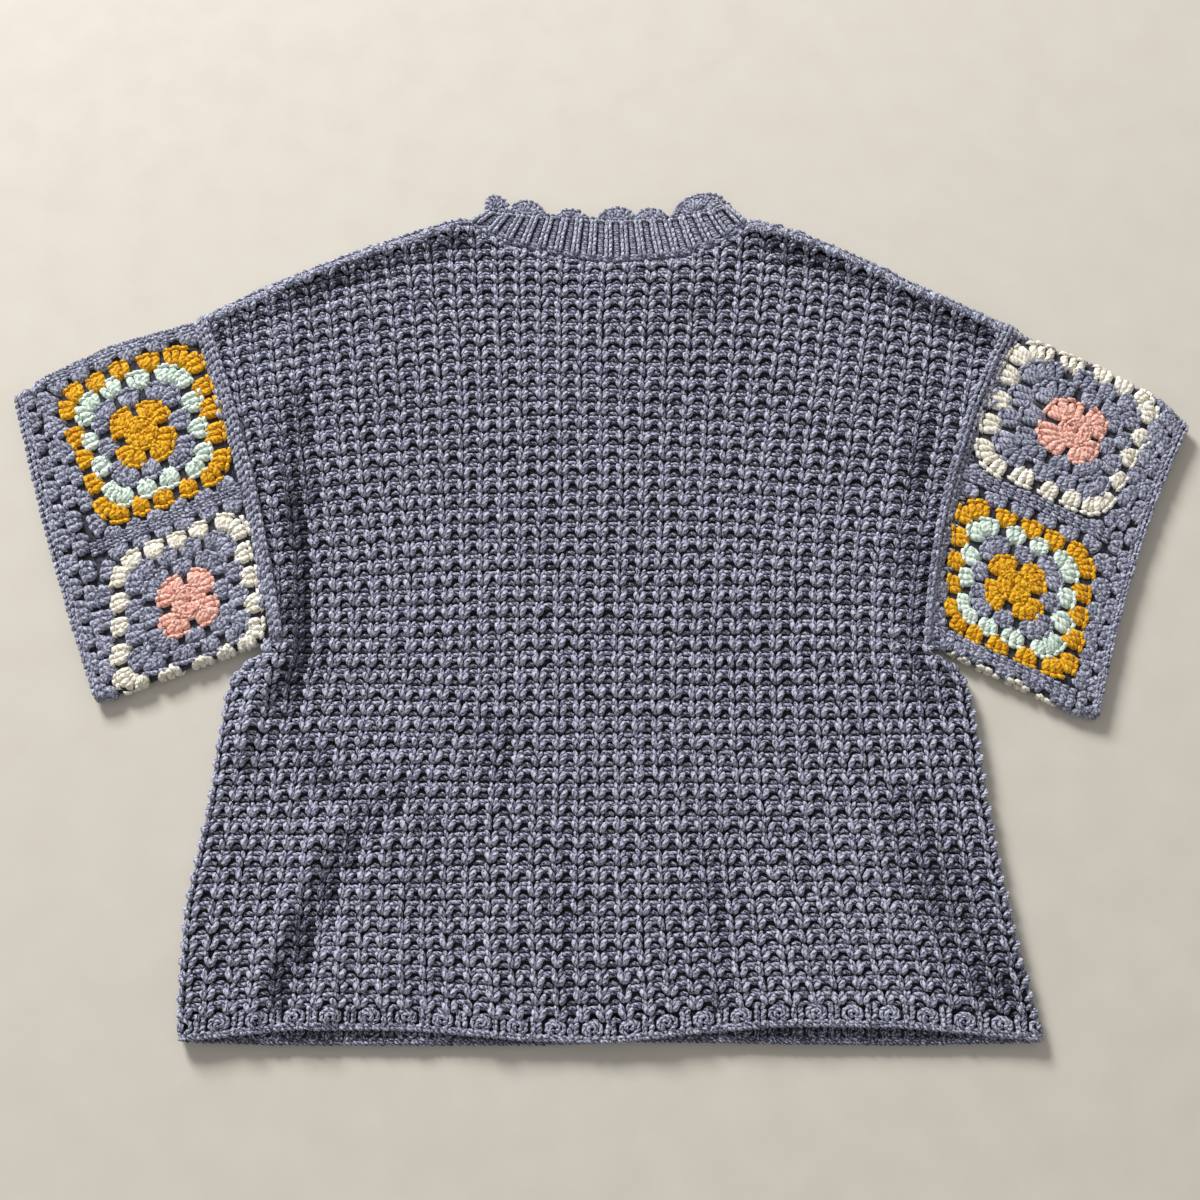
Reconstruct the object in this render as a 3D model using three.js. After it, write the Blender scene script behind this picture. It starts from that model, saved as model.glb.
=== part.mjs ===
// A hand-knitted pullover with granny square sleeves, laid flat on its front.
// Millimetres. +X runs across the garment, +Y from hem to neck, +Z up from the surface it lies on.
// The back panel is the upper layer. Body, sleeves and collar are tubes pressed flat, two walls deep.

import * as THREE from 'three';

// Driving dimensions.
const KNIT_WALL = 4.4; // chunky waffle rib
const CROCHET_WALL = 4.0; // granny squares and edgings
const RIB_WALL = 3.4; // collar rib and its shells
const SLACK = 0.2; // half the space between two layers that lie on each other
const SEAM = 0.3; // space between two pieces where they are joined
const HEM_RIB = 18; // height of the ribbed hem
const ARMHOLE_ROWS = 7.5; // width of the crochet rows that join sleeve and body
const ROW_LEVELLING = 3; // how fast the knitted rows level out below the shoulders

const SLATE = 0x6a6d87;
const MUSTARD = 0xcf9613;
const PINK = 0xeaa294;

// The body's sides from the hem up to the underarm.
const BODY_SIDES = [
  { y: -303, left: -279, right: 294 },
  { y: -285, left: -280, right: 290 },
  { y: -250, left: -281, right: 283 },
  { y: -215, left: -281, right: 277 },
  { y: -180, left: -275, right: 272 },
  { y: -145, left: -269, right: 268 },
  { y: -105, left: -267, right: 265 },
  { y: -70, left: -263, right: 261 },
  { y: -48, left: -256, right: 255 },
];

// Shoulder slopes and neckline, along the top of both panels.
const SHOULDER_LINE = [
  { x: -303, y: 219 },
  { x: -269, y: 238 },
  { x: -213, y: 265 },
  { x: -154, y: 289 },
  { x: -106, y: 305 },
  { x: -90, y: 290 },
  { x: -39, y: 275 },
  { x: 12, y: 267 },
  { x: 62, y: 273 },
  { x: 100, y: 286 },
  { x: 119, y: 304 },
  { x: 160, y: 289 },
  { x: 197, y: 273 },
  { x: 233, y: 251 },
  { x: 264, y: 236 },
  { x: 312, y: 211 },
];
const NECK = { left: -106, right: 119 };

// How far each panel's hem hangs below or above the level of its side corners.
const HEM_LINE = [
  { x: -279, back: 0, front: 0 },
  { x: -200, back: 8, front: -2 },
  { x: -120, back: 7, front: -2 },
  { x: -40, back: 0, front: -2 },
  { x: 8, back: -1, front: 0 },
  { x: 50, back: 4, front: 0 },
  { x: 120, back: 10, front: -1 },
  { x: 200, back: 9, front: -2 },
  { x: 294, back: 0, front: 0 },
];

// Where each sleeve lies: its two folds and the join between its squares, from the body out to the cuff.
const SLEEVES = {
  left: {
    folds: [
      { at: 'upper fold', body: [-303, 219], middle: [-364, 201], outer: [-416, 173], cuff: [-436, 157] },
      { at: 'join', body: [-257, 86], middle: [-317, 60], outer: [-368, 36], cuff: [-394, 29] },
      { at: 'lower fold', body: [-228, -32], middle: [-294, -57], outer: [-338, -74], cuff: [-352, -78] },
    ],
    joins: [0.03, 0.55, 1.04, 1.45],
    squares: [
      { name: 'top_upper', centre: MUSTARD },
      { name: 'top_lower', centre: PINK },
      { name: 'under_lower', centre: MUSTARD },
      { name: 'under_upper', centre: PINK },
    ],
  },
  right: {
    folds: [
      { at: 'upper fold', body: [312, 211], middle: [370, 185], outer: [417, 156], cuff: [436, 133] },
      { at: 'join', body: [262, 99], middle: [320, 73], outer: [370, 47], cuff: [392, 43] },
      { at: 'lower fold', body: [232, -35], middle: [290, -69], outer: [330, -86], cuff: [347, -90] },
    ],
    joins: [-0.05, 0.475, 0.93, 1.525],
    squares: [
      { name: 'top_upper', centre: PINK },
      { name: 'top_lower', centre: MUSTARD },
      { name: 'under_lower', centre: PINK },
      { name: 'under_upper', centre: MUSTARD },
    ],
  },
};

// The top of the collar's rib, above the points of the neckline that it grows from.
const COLLAR_TOP = [
  { x: -106, y: 313 },
  { x: -90, y: 309 },
  { x: -39, y: 305 },
  { x: 12, y: 302 },
  { x: 62, y: 304 },
  { x: 100, y: 311 },
  { x: 119, y: 318 },
];
const COLLAR_TAPER = 0.86; // width of the rib's top over the width of its lower edge
const SHELLS = 7; // crocheted shells along each half of the neck
const SHELL_HEIGHT = 13;
const SHELL_VALLEY = 5;
const SHELL_STEPS = 4;

// Ridges and troughs of the upper layer: from one end to the other, half width and height.
const CREASES = [
  { from: [-222, -44], to: [-254, -118], width: 13, height: 4.0 },
  { from: [-206, -50], to: [-232, -128], width: 10, height: -2.2 },
  { from: [226, -42], to: [250, -104], width: 13, height: 3.8 },
  { from: [210, -46], to: [228, -112], width: 10, height: -2.0 },
  { from: [-262, -140], to: [-268, -286], width: 12, height: 2.2 },
  { from: [-226, -222], to: [-238, -300], width: 11, height: -1.8 },
  { from: [-200, -190], to: [-206, -296], width: 16, height: 1.6 },
  { from: [262, -150], to: [276, -290], width: 14, height: 1.8 },
  { from: [224, -170], to: [236, -296], width: 18, height: -1.4 },
  { from: [-232, 214], to: [-128, 268], width: 13, height: 2.0 },
  { from: [-226, 190], to: [-120, 244], width: 11, height: -1.4 },
  { from: [142, 268], to: [240, 216], width: 13, height: 1.9 },
  { from: [134, 246], to: [232, 194], width: 11, height: -1.3 },
  { from: [-110, 196], to: [40, 150], width: 42, height: 0.9 },
  { from: [-60, -20], to: [150, 60], width: 55, height: 0.8 },
  { from: [-150, -150], to: [60, -190], width: 50, height: -0.7 },
  { from: [-262, -294], to: [-128, -296], width: 12, height: 1.8 },
  { from: [62, -294], to: [226, -296], width: 12, height: 2.0 },
  { from: [-219, -34], to: [-246, 66], width: 11, height: -3.0 },
  { from: [-246, 66], to: [-262, 120], width: 9, height: -1.6 },
  { from: [223, -38], to: [250, 72], width: 11, height: -3.0 },
  { from: [250, 72], to: [266, 124], width: 9, height: -1.6 },
];
const RELIEF = { resting: 2.3, lowest: 0, highest: 6.0, underneath: 3.2 };

const lerp = (a, b, t) => a + (b - a) * t;
const lerpPoint = (a, b, t) => [lerp(a[0], b[0], t), lerp(a[1], b[1], t)];
const distance = (a, b) => Math.hypot(a[0] - b[0], a[1] - b[1]);

// The value of a table's column where another column, which rises, reaches x.
function readTable(rows, key, x, column) {
  let i = 1;
  while (i < rows.length - 1 && rows[i][key] < x) i += 1;
  const t = (x - rows[i - 1][key]) / (rows[i][key] - rows[i - 1][key]);
  return lerp(rows[i - 1][column], rows[i][column], Math.min(1, Math.max(0, t)));
}

// Height of the upper layer above where it would lie if it were quite flat.
function relief(x, y) {
  let height = RELIEF.resting;
  for (const crease of CREASES) {
    const [ax, ay] = crease.from;
    const dx = crease.to[0] - ax;
    const dy = crease.to[1] - ay;
    const along = ((x - ax) * dx + (y - ay) * dy) / (dx * dx + dy * dy);
    const nearest = Math.min(1, Math.max(0, along));
    const away = Math.hypot(x - ax - nearest * dx, y - ay - nearest * dy) / crease.width;
    height += crease.height * Math.exp(-away * away);
  }
  return Math.min(RELIEF.highest, Math.max(RELIEF.lowest, height));
}

// A closed wall between two matching grids of points, as rows of columns. A ringed one joins its last
// column to its first.
function wallBetween(outer, inner, ringed = false) {
  const rows = outer.length;
  const columns = outer[0].length;
  const vertices = [...outer.flat(2), ...inner.flat(2)];
  const triangles = [];
  const outerAt = (r, c) => r * columns + (c % columns);
  const innerAt = (r, c) => rows * columns + outerAt(r, c);
  const quad = (a, b, c, d) => triangles.push(a, b, c, a, c, d);
  const lastColumn = ringed ? columns : columns - 1;
  for (let c = 0; c < lastColumn; c += 1) {
    for (let r = 0; r < rows - 1; r += 1) {
      quad(outerAt(r, c), outerAt(r, c + 1), outerAt(r + 1, c + 1), outerAt(r + 1, c));
      quad(innerAt(r + 1, c), innerAt(r + 1, c + 1), innerAt(r, c + 1), innerAt(r, c));
    }
    quad(innerAt(0, c), innerAt(0, c + 1), outerAt(0, c + 1), outerAt(0, c));
    const end = rows - 1;
    quad(outerAt(end, c), outerAt(end, c + 1), innerAt(end, c + 1), innerAt(end, c));
  }
  for (let r = 0; !ringed && r < rows - 1; r += 1) {
    const above = r + 1;
    const side = columns - 1;
    quad(innerAt(r, 0), outerAt(r, 0), outerAt(above, 0), innerAt(above, 0));
    quad(outerAt(r, side), innerAt(r, side), innerAt(above, side), outerAt(above, side));
  }
  return facingOut(vertices, triangles);
}

// A geometry from its points and triangles, turned inside out if its faces look inwards.
function facingOut(vertices, triangles) {
  const corner = (i) => new THREE.Vector3().fromArray(vertices, 3 * i);
  let volume = 0;
  for (let i = 0; i < triangles.length; i += 3) {
    const [a, b, c] = triangles.slice(i, i + 3).map(corner);
    volume += a.dot(b.cross(c));
  }
  const geometry = new THREE.BufferGeometry();
  geometry.setAttribute('position', new THREE.Float32BufferAttribute(vertices, 3));
  geometry.setIndex(volume < 0 ? triangles.reverse() : triangles);
  return geometry;
}

function piece(name, geometry, color, roughness = 0.95) {
  const mesh = new THREE.Mesh(geometry, new THREE.MeshStandardMaterial({ color, roughness, metalness: 0 }));
  mesh.name = name;
  return mesh;
}

// A flattened tube. line(t, f) gives where it lies at t along it and f of the way from its first fold to
// its second. g goes round it: 0 at the first fold, 1 at the second, over the upper layer, and 2 back at
// the first, under the lower one. Both walls turn about the same centre in each fold, within TURN of g.
const TURN = 0.0175;
const SAME_STATION = 1e-6;

function pressedPoint(line, t, g, wall, isOuter) {
  const middle = wall + SLACK;
  const radius = isOuter ? middle : SLACK;
  const width = distance(line(t, 0), line(t, 1));
  const turn = ((g % 2) + 2) % 2;
  const onTop = turn <= 1;
  const round = onTop ? turn : 2 - turn;
  const nearest = Math.min(round, 1 - round);
  const angle = Math.min(1, nearest / TURN) * (Math.PI / 2);
  const beyond = Math.max(0, nearest - TURN) / (1 - 2 * TURN) * (width - 2 * middle);
  const inward = middle - radius * Math.cos(angle) + beyond;
  const across = round < 0.5 ? inward : width - inward;
  const [x, y] = line(t, across / width);
  const lift = onTop ? relief(x, y) * Math.sin(angle) : 0;
  const raised = isOuter ? lift : Math.min(lift, RELIEF.underneath);
  return [x, y, middle + (onTop ? 1 : -1) * radius * Math.sin(angle) + raised];
}

// Stations round a flattened tube from one g to another: evenly spaced, at each kink, and where it turns
// over a fold.
function girthStations(from, to, step, kinks = []) {
  const stops = [from, ...kinks.filter((g) => g > from && g < to), to];
  const stations = new Set(stops);
  for (let i = 1; i < stops.length; i += 1) {
    const count = Math.max(1, Math.round((stops[i] - stops[i - 1]) / step));
    for (let j = 1; j < count; j += 1) stations.add(lerp(stops[i - 1], stops[i], j / count));
  }
  const folds = [];
  for (let fold = Math.ceil(from); fold <= Math.floor(to); fold += 1) {
    folds.push(...[-1, -0.5, 0, 0.5, 1].map((share) => fold + share * TURN));
  }
  const isClear = (g) => g === from || g === to || folds.every((fold) => Math.abs(g - fold) > 0.4 * TURN);
  const all = [
    ...[...stations].filter(isClear),
    ...folds.filter((g) => g > from + SAME_STATION && g < to - SAME_STATION),
  ];
  return all.sort((a, b) => a - b).filter((g, i) => i === 0 || g - all[i - 1] > SAME_STATION);
}

// Stations all round, as a ring that doesn't repeat its first one.
const allRound = (step, kinks) => girthStations(0, 2, step, kinks).filter((g) => g < 2 - SAME_STATION);

function pressedWall(line, stationsAlong, girth, wall, ringed = false) {
  const grid = (isOuter) => stationsAlong.map(
    (t) => girth.map((g) => pressedPoint(line, t, g, wall, isOuter)),
  );
  return wallBetween(grid(true), grid(false), ringed);
}

// Sleeves: stop 0 is at the body, 1 half way along the squares, 2 at their outer edge and 3 at the cuff.
const SLEEVE_STOPS = ['body', 'middle', 'outer', 'cuff'];

function alongSleeve(row, stop) {
  const index = Math.min(Math.floor(stop), SLEEVE_STOPS.length - 2);
  return lerpPoint(row[SLEEVE_STOPS[index]], row[SLEEVE_STOPS[index + 1]], stop - index);
}

function sleeveLine(sleeve) {
  return (stop, f) => {
    const [upper, join, lower] = sleeve.folds.map((row) => alongSleeve(row, stop));
    const share = sleeve.joins[1];
    if (f < share) return lerpPoint(upper, join, f / share);
    return lerpPoint(join, lower, (f - share) / (1 - share));
  };
}

const SLEEVE_GIRTH = 430; // all round at its narrow end

function sleevePieces(side) {
  const sleeve = SLEEVES[side];
  const line = sleeveLine(sleeve);
  const stopLength = distance(sleeve.folds[1].body, sleeve.folds[1].middle);
  const armhole = ARMHOLE_ROWS / stopLength;
  const seam = SEAM / stopLength;
  const girthGap = SEAM / SLEEVE_GIRTH;
  const pieces = [];
  const around = allRound(0.11, sleeve.joins);
  const ring = (name, stops) => pieces.push(
    piece(`${side}_${name}`, pressedWall(line, stops, around, CROCHET_WALL, true), SLATE),
  );
  ring('armhole_edging', [2 * seam, armhole]);
  sleeve.squares.forEach((square, i) => {
    const from = sleeve.joins[i] + girthGap;
    const to = (sleeve.joins[i + 1] ?? sleeve.joins[0] + 2) - girthGap;
    const girth = girthStations(from, to, 0.1, sleeve.joins);
    const stops = [armhole + seam, 0.5, 1, 1.5, 2];
    const wall = pressedWall(line, stops, girth, CROCHET_WALL);
    pieces.push(piece(`${side}_square_${square.name}`, wall, square.centre));
  });
  ring('cuff_edging', [2 + seam, 2.5, 3]);
  return pieces;
}

// Body: both edges of a knitted row. v is 0 at the hem, 1 at the shoulder tips, and in between it passes
// the underarm and the level where each sleeve's squares are joined.
const UNDERARM = 0.5;
const SLEEVE_JOIN = 0.74;
const HEM_REACH = 0.25; // v where the rows stop following the hem's line
const MM_PER_V = 500; // height of the body for each unit of v

function bodyEdges(v) {
  if (v < UNDERARM) {
    const y = lerp(BODY_SIDES[0].y, BODY_SIDES.at(-1).y, v / UNDERARM);
    return ['left', 'right'].map((side) => [readTable(BODY_SIDES, 'y', y, side), y]);
  }
  return ['left', 'right'].map((side) => {
    const [upper, join, lower] = SLEEVES[side].folds.map((row) => row.body);
    if (v < SLEEVE_JOIN) {
      return lerpPoint(lower, join, (v - UNDERARM) / (SLEEVE_JOIN - UNDERARM));
    }
    return lerpPoint(join, upper, (v - SLEEVE_JOIN) / (1 - SLEEVE_JOIN));
  });
}

// Where a panel lies: u across it from left to right, v up it.
function bodyPoint(u, v, layer) {
  const [left, right] = bodyEdges(v);
  const [x, y] = lerpPoint(left, right, u);
  const [leftTip, rightTip] = bodyEdges(1);
  const [topX, tipY] = lerpPoint(leftTip, rightTip, u);
  const shoulder = readTable(SHOULDER_LINE, 'x', topX, 'y') - tipY;
  const [leftHem, rightHem] = bodyEdges(0);
  const hem = readTable(HEM_LINE, 'x', lerp(leftHem[0], rightHem[0], u), layer);
  const nearHem = Math.max(0, 1 - v / HEM_REACH);
  return [x, y + shoulder * v ** ROW_LEVELLING + hem * nearHem * nearHem];
}

// Stations across a panel, with one at each side of the neck. turn is the angle through a side fold, which
// takes up the outermost FOLD_SHARE of the width.
const SHOULDER_COLUMNS = 7;
const NECK_COLUMNS = 8;
const FOLD_SHARE = 0.014;
const CLOSER_TO_SIDES = 1.2;
const FLAT = Math.PI / 2;

function acrossStations() {
  const [leftTip, rightTip] = bodyEdges(1);
  const shareAt = (x) => (x - leftTip[0]) / (rightTip[0] - leftTip[0]);
  const neck = { left: shareAt(NECK.left), right: shareAt(NECK.right) };
  const fold = [{ u: 0, turn: 0 }, { u: 0.36 * FOLD_SHARE, turn: FLAT / 2 }, { u: FOLD_SHARE, turn: FLAT }];
  const stations = [...fold];
  for (let i = 1; i <= SHOULDER_COLUMNS; i += 1) {
    const share = (i / SHOULDER_COLUMNS) ** CLOSER_TO_SIDES;
    stations.push({ u: lerp(FOLD_SHARE, neck.left, share), turn: FLAT });
  }
  for (let i = 1; i <= NECK_COLUMNS; i += 1) {
    stations.push({ u: lerp(neck.left, neck.right, i / NECK_COLUMNS), turn: FLAT });
  }
  for (let i = 1; i < SHOULDER_COLUMNS; i += 1) {
    const share = (1 - i / SHOULDER_COLUMNS) ** CLOSER_TO_SIDES;
    stations.push({ u: lerp(1 - FOLD_SHARE, neck.right, share), turn: FLAT });
  }
  return [...stations, ...fold.map(({ u, turn }) => ({ u: 1 - u, turn })).reverse()];
}

// How far inside the outer face the inner one starts, where both turn over a fold.
const insideFold = (turn) => KNIT_WALL * (1 - 0.6 * Math.sin(turn));

// Space kept to the armhole rows, which start on the sleeve's own line.
function seamInset(u) {
  if (u === 0) return SEAM;
  return u === 1 ? -SEAM : 0;
}

// One point of a panel. It stands at full height where both turns are FLAT, and comes down to the seam with
// the other panel along the sides and shoulders. The lower layer is the same wall turned over.
function panelPoint(layer, station, row, isOuter) {
  const middle = KNIT_WALL + SLACK;
  const { u } = station;
  const [tipLeft, tipRight] = bodyEdges(1);
  const topX = lerp(tipLeft[0], tipRight[0], u);
  const isSide = row.v < UNDERARM;
  const isShoulder = topX < NECK.left - 1 || topX > NECK.right + 1;
  const sideTurn = isSide ? station.turn : FLAT;
  const topTurn = isShoulder ? row.shoulderTurn : FLAT;
  const stand = Math.sin(sideTurn) * Math.sin(topTurn);
  const down = isOuter || topTurn === FLAT ? 0 : insideFold(topTurn);
  const inwards = isOuter || sideTurn === FLAT ? 0 : insideFold(sideTurn) * (u < 0.5 ? 1 : -1);
  const [x, y] = bodyPoint(u, row.v - down / MM_PER_V, layer);
  const lift = layer === 'back' ? relief(x, y) * stand : 0;
  const away = isOuter
    ? Math.max(SEAM / 2, middle * stand) + lift
    : Math.max(SEAM / 2, SLACK * stand) + Math.min(lift, RELIEF.underneath);
  const upward = layer === 'back' ? 1 : -1;
  return [x + inwards + (isSide ? 0 : seamInset(u)), y, middle + upward * away];
}

function panel(layer, across, rows) {
  const grid = (isOuter) => rows.map(
    (row) => across.map((station) => panelPoint(layer, station, row, isOuter)),
  );
  return wallBetween(grid(true), grid(false));
}

// Rows at even heights, clear of the shoulders' fold, which starts at SHOULDER_FOLD.
const SHOULDER_FOLD = 0.985;
const ROW = 0.04; // the usual space between rows

function bodyRows(from, to, count) {
  return Array.from(
    { length: count + 1 },
    (_, i) => ({ v: lerp(from, to, i / count), shoulderTurn: FLAT }),
  );
}

function panelPieces(layer, rowCount) {
  const across = acrossStations();
  const hemTop = (HEM_RIB / (BODY_SIDES.at(-1).y - BODY_SIDES[0].y)) * UNDERARM;
  const halfSeam = SEAM / (2 * MM_PER_V);
  const rows = [
    ...bodyRows(hemTop + halfSeam, UNDERARM - ROW, rowCount),
    ...bodyRows(UNDERARM - ROW / 3, UNDERARM, 1),
    ...bodyRows(UNDERARM + ROW, SLEEVE_JOIN, rowCount / 2),
    ...bodyRows(SLEEVE_JOIN + ROW / 2, SHOULDER_FOLD - ROW, rowCount / 2 - 1),
    { v: SHOULDER_FOLD, shoulderTurn: FLAT },
    { v: lerp(SHOULDER_FOLD, 1, 2 / 3), shoulderTurn: FLAT / 2 },
    { v: 1, shoulderTurn: 0 },
  ];
  return [
    piece(`${layer}_panel`, panel(layer, across, rows), SLATE),
    piece(`${layer}_hem_rib`, panel(layer, across, bodyRows(0, hemTop - halfSeam, 1)), SLATE),
  ];
}

// Collar: its lines in height are shares of the way from its lower edge to the top of the rib.
const collarMiddle = (NECK.left + NECK.right) / 2;

// Points of a panel's own top edge, which the collar's lower edge follows.
const neckEdge = acrossStations().map(({ u }) => {
  const [x, y] = bodyPoint(u, 1, 'back');
  return { x, y };
});

function collarLine(t, f) {
  const x = lerp(NECK.left, NECK.right, f);
  const base = readTable(neckEdge, 'x', x, 'y') + SEAM;
  const top = readTable(COLLAR_TOP, 'x', x, 'y');
  const topX = collarMiddle + (x - collarMiddle) * COLLAR_TAPER;
  return [lerp(x, topX, t), lerp(base, top, t)];
}

function shellLine(t, f, g) {
  const [x, y] = collarLine(1, f);
  const wave = Math.abs(Math.sin(Math.PI * SHELLS * (g % 1)));
  return [x, y + SEAM + t * lerp(SHELL_VALLEY, SHELL_HEIGHT, wave)];
}

function collarPieces() {
  const around = allRound(1 / (SHELLS * SHELL_STEPS));
  const rib = pressedWall(collarLine, [0, 0.5, 1], around, RIB_WALL, true);
  const grid = (isOuter) => [0, 1].map((t) => around.map(
    (g) => pressedPoint((along, f) => shellLine(along, f, g), t, g, RIB_WALL, isOuter),
  ));
  return [
    piece('collar_rib', rib, SLATE),
    piece('neck_scallops', wallBetween(grid(true), grid(false), true), SLATE),
  ];
}

// The whole garment, stood with the middle of its footprint at the origin.
const garment = new THREE.Group();
garment.add(...panelPieces('back', 10));
garment.add(...panelPieces('front', 4));
garment.add(...collarPieces());
garment.add(...sleevePieces('left'));
garment.add(...sleevePieces('right'));

const box = new THREE.Box3().setFromObject(garment);
const centre = box.getCenter(new THREE.Vector3());
garment.position.set(-centre.x, -centre.y, -box.min.z);

export default garment;
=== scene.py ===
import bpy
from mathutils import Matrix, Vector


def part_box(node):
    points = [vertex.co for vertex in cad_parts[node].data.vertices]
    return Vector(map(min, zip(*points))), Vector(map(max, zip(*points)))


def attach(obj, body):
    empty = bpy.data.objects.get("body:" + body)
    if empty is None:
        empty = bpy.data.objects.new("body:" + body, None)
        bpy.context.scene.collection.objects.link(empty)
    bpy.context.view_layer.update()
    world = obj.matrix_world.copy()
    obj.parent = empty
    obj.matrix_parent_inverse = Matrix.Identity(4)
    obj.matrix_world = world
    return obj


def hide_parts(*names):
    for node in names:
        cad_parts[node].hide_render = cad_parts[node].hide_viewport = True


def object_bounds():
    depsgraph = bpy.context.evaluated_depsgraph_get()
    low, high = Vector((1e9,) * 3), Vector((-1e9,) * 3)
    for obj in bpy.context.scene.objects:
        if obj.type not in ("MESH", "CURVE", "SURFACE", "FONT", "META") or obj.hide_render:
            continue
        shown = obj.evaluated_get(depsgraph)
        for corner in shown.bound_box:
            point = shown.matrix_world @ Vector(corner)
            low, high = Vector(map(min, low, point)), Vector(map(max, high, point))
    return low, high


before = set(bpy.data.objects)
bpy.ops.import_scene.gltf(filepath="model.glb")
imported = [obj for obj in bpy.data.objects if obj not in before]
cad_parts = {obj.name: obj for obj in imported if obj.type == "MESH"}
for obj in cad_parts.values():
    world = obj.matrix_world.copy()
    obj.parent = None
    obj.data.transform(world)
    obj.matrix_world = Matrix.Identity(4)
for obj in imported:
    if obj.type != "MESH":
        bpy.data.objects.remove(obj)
cad_box = [list(corner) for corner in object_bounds()]

import math

import bpy
import numpy as np
from mathutils import Vector
from mathutils.bvhtree import BVHTree

# A knitted pullover with granny square sleeves, laid flat with its back on top. Metres: +X runs across
# the garment, +Y from hem to neck, +Z up. Every piece is laid on surfaces read from the CAD solids: a
# surface is a function of two places on the cloth and of a height above it.

MM = 0.001
CM = 0.01
chance = np.random.default_rng(7)


# ---- reading the frame

def unit(v):
    return v / np.maximum(np.linalg.norm(v, axis=-1, keepdims=True), 1e-12)


def lerp(a, b, t):
    return a + (b - a) * t


def joined(*values):
    """Arrays or single numbers, side by side along a new last axis."""
    return np.stack(np.broadcast_arrays(*values), -1)


def node_mesh(name):
    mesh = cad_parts[name].data
    points = np.array([v.co for v in mesh.vertices])
    edges = np.array([e.vertices[:] for e in mesh.edges])
    return points, edges


MESHES = {name: node_mesh(name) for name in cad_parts}


def cut(names, at, along):
    """How far the nodes reach from the point at, backwards and forwards, in the plane along that way."""
    along = np.array(along, float)
    across = np.array([-along[1], along[0]])
    reached = []
    for name in names:
        points, edges = MESHES[name]
        side = (points[:, :2] - at) @ across
        a, b = edges[side[edges[:, 0]] * side[edges[:, 1]] < 0].T
        share = (side[a] / (side[a] - side[b]))[:, None]
        reached.append((lerp(points[a], points[b], share)[:, :2] - at) @ along)
    reached = np.concatenate(reached)
    return reached.min(), reached.max()


def corner(names, along, across):
    """The plan point of these nodes that lies furthest along both of these ways."""
    points = np.concatenate([MESHES[name][0][:, :2] for name in names])
    far = points @ unit(np.array(along, float)) + points @ unit(np.array(across, float))
    return points[np.argmax(far)]


class Heights:
    """The top of the CAD solids, smoothed, and carried on outwards past their rounded edges."""

    STEP = 4 * MM
    MARGIN = 6  # steps past the garment's box
    EDGE = 2  # steps of rounded edge that are left out
    SPREAD = 10  # steps that the rest is then carried on outwards
    PASSES = 3  # of smoothing

    def __init__(self):
        points, polygons = [], []
        for name in sorted(MESHES):
            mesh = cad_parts[name].data
            start = len(points)
            points += [v.co[:] for v in mesh.vertices]
            polygons += [[start + i for i in p.vertices] for p in mesh.polygons]
        tree = BVHTree.FromPolygons(points, polygons)
        self.xs, self.ys = (self.steps(cad_box[0][axis], cad_box[1][axis]) for axis in (0, 1))
        hits = [[tree.ray_cast((x, y, 1), (0, 0, -1))[0] for x in self.xs] for y in self.ys]
        z = np.array([[np.nan if hit is None else hit.z for hit in row] for row in hits])
        for _ in range(self.EDGE):
            z = np.where(np.isnan(self.around(z)).any(0), np.nan, z)
        for _ in range(self.SPREAD):
            near = self.around(z)
            known = ~np.isnan(near)
            mean = np.where(known, near, 0).sum(0) / np.maximum(known.sum(0), 1)
            z = np.where(np.isnan(z) & known.any(0), mean, z)
        z = np.where(np.isnan(z), 0, z)
        for _ in range(self.PASSES):
            z = self.around(z).mean(0)
        self.z = z

    def steps(self, low, high):
        return np.arange(low - self.MARGIN * self.STEP, high + (self.MARGIN + 1) * self.STEP, self.STEP)

    @staticmethod
    def around(z):
        padded = np.pad(z, 1, mode="edge")
        rows, columns = z.shape
        return np.array([padded[i:i + rows, j:j + columns] for i in range(3) for j in range(3)])

    def __call__(self, x, y):
        i = np.clip((x - self.xs[0]) / self.STEP, 0, len(self.xs) - 1.001)
        j = np.clip((y - self.ys[0]) / self.STEP, 0, len(self.ys) - 1.001)
        i0, j0 = i.astype(int), j.astype(int)
        low, high = (lerp(self.z[row, i0], self.z[row, i0 + 1], i - i0) for row in (j0, j0 + 1))
        return lerp(low, high, j - j0)


top_height = Heights()
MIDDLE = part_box("front_panel")[1].z  # where the two layers of the body meet


# ---- yarn and cloth meshes

TINT_SPREAD = 0.12  # how much strands that are alike vary in tint
DARKEST = -0.5  # the lowest tint, deep in a crease, where painted shade darkens it
CLOTH_THICKNESS = 1.2 * MM


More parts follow.
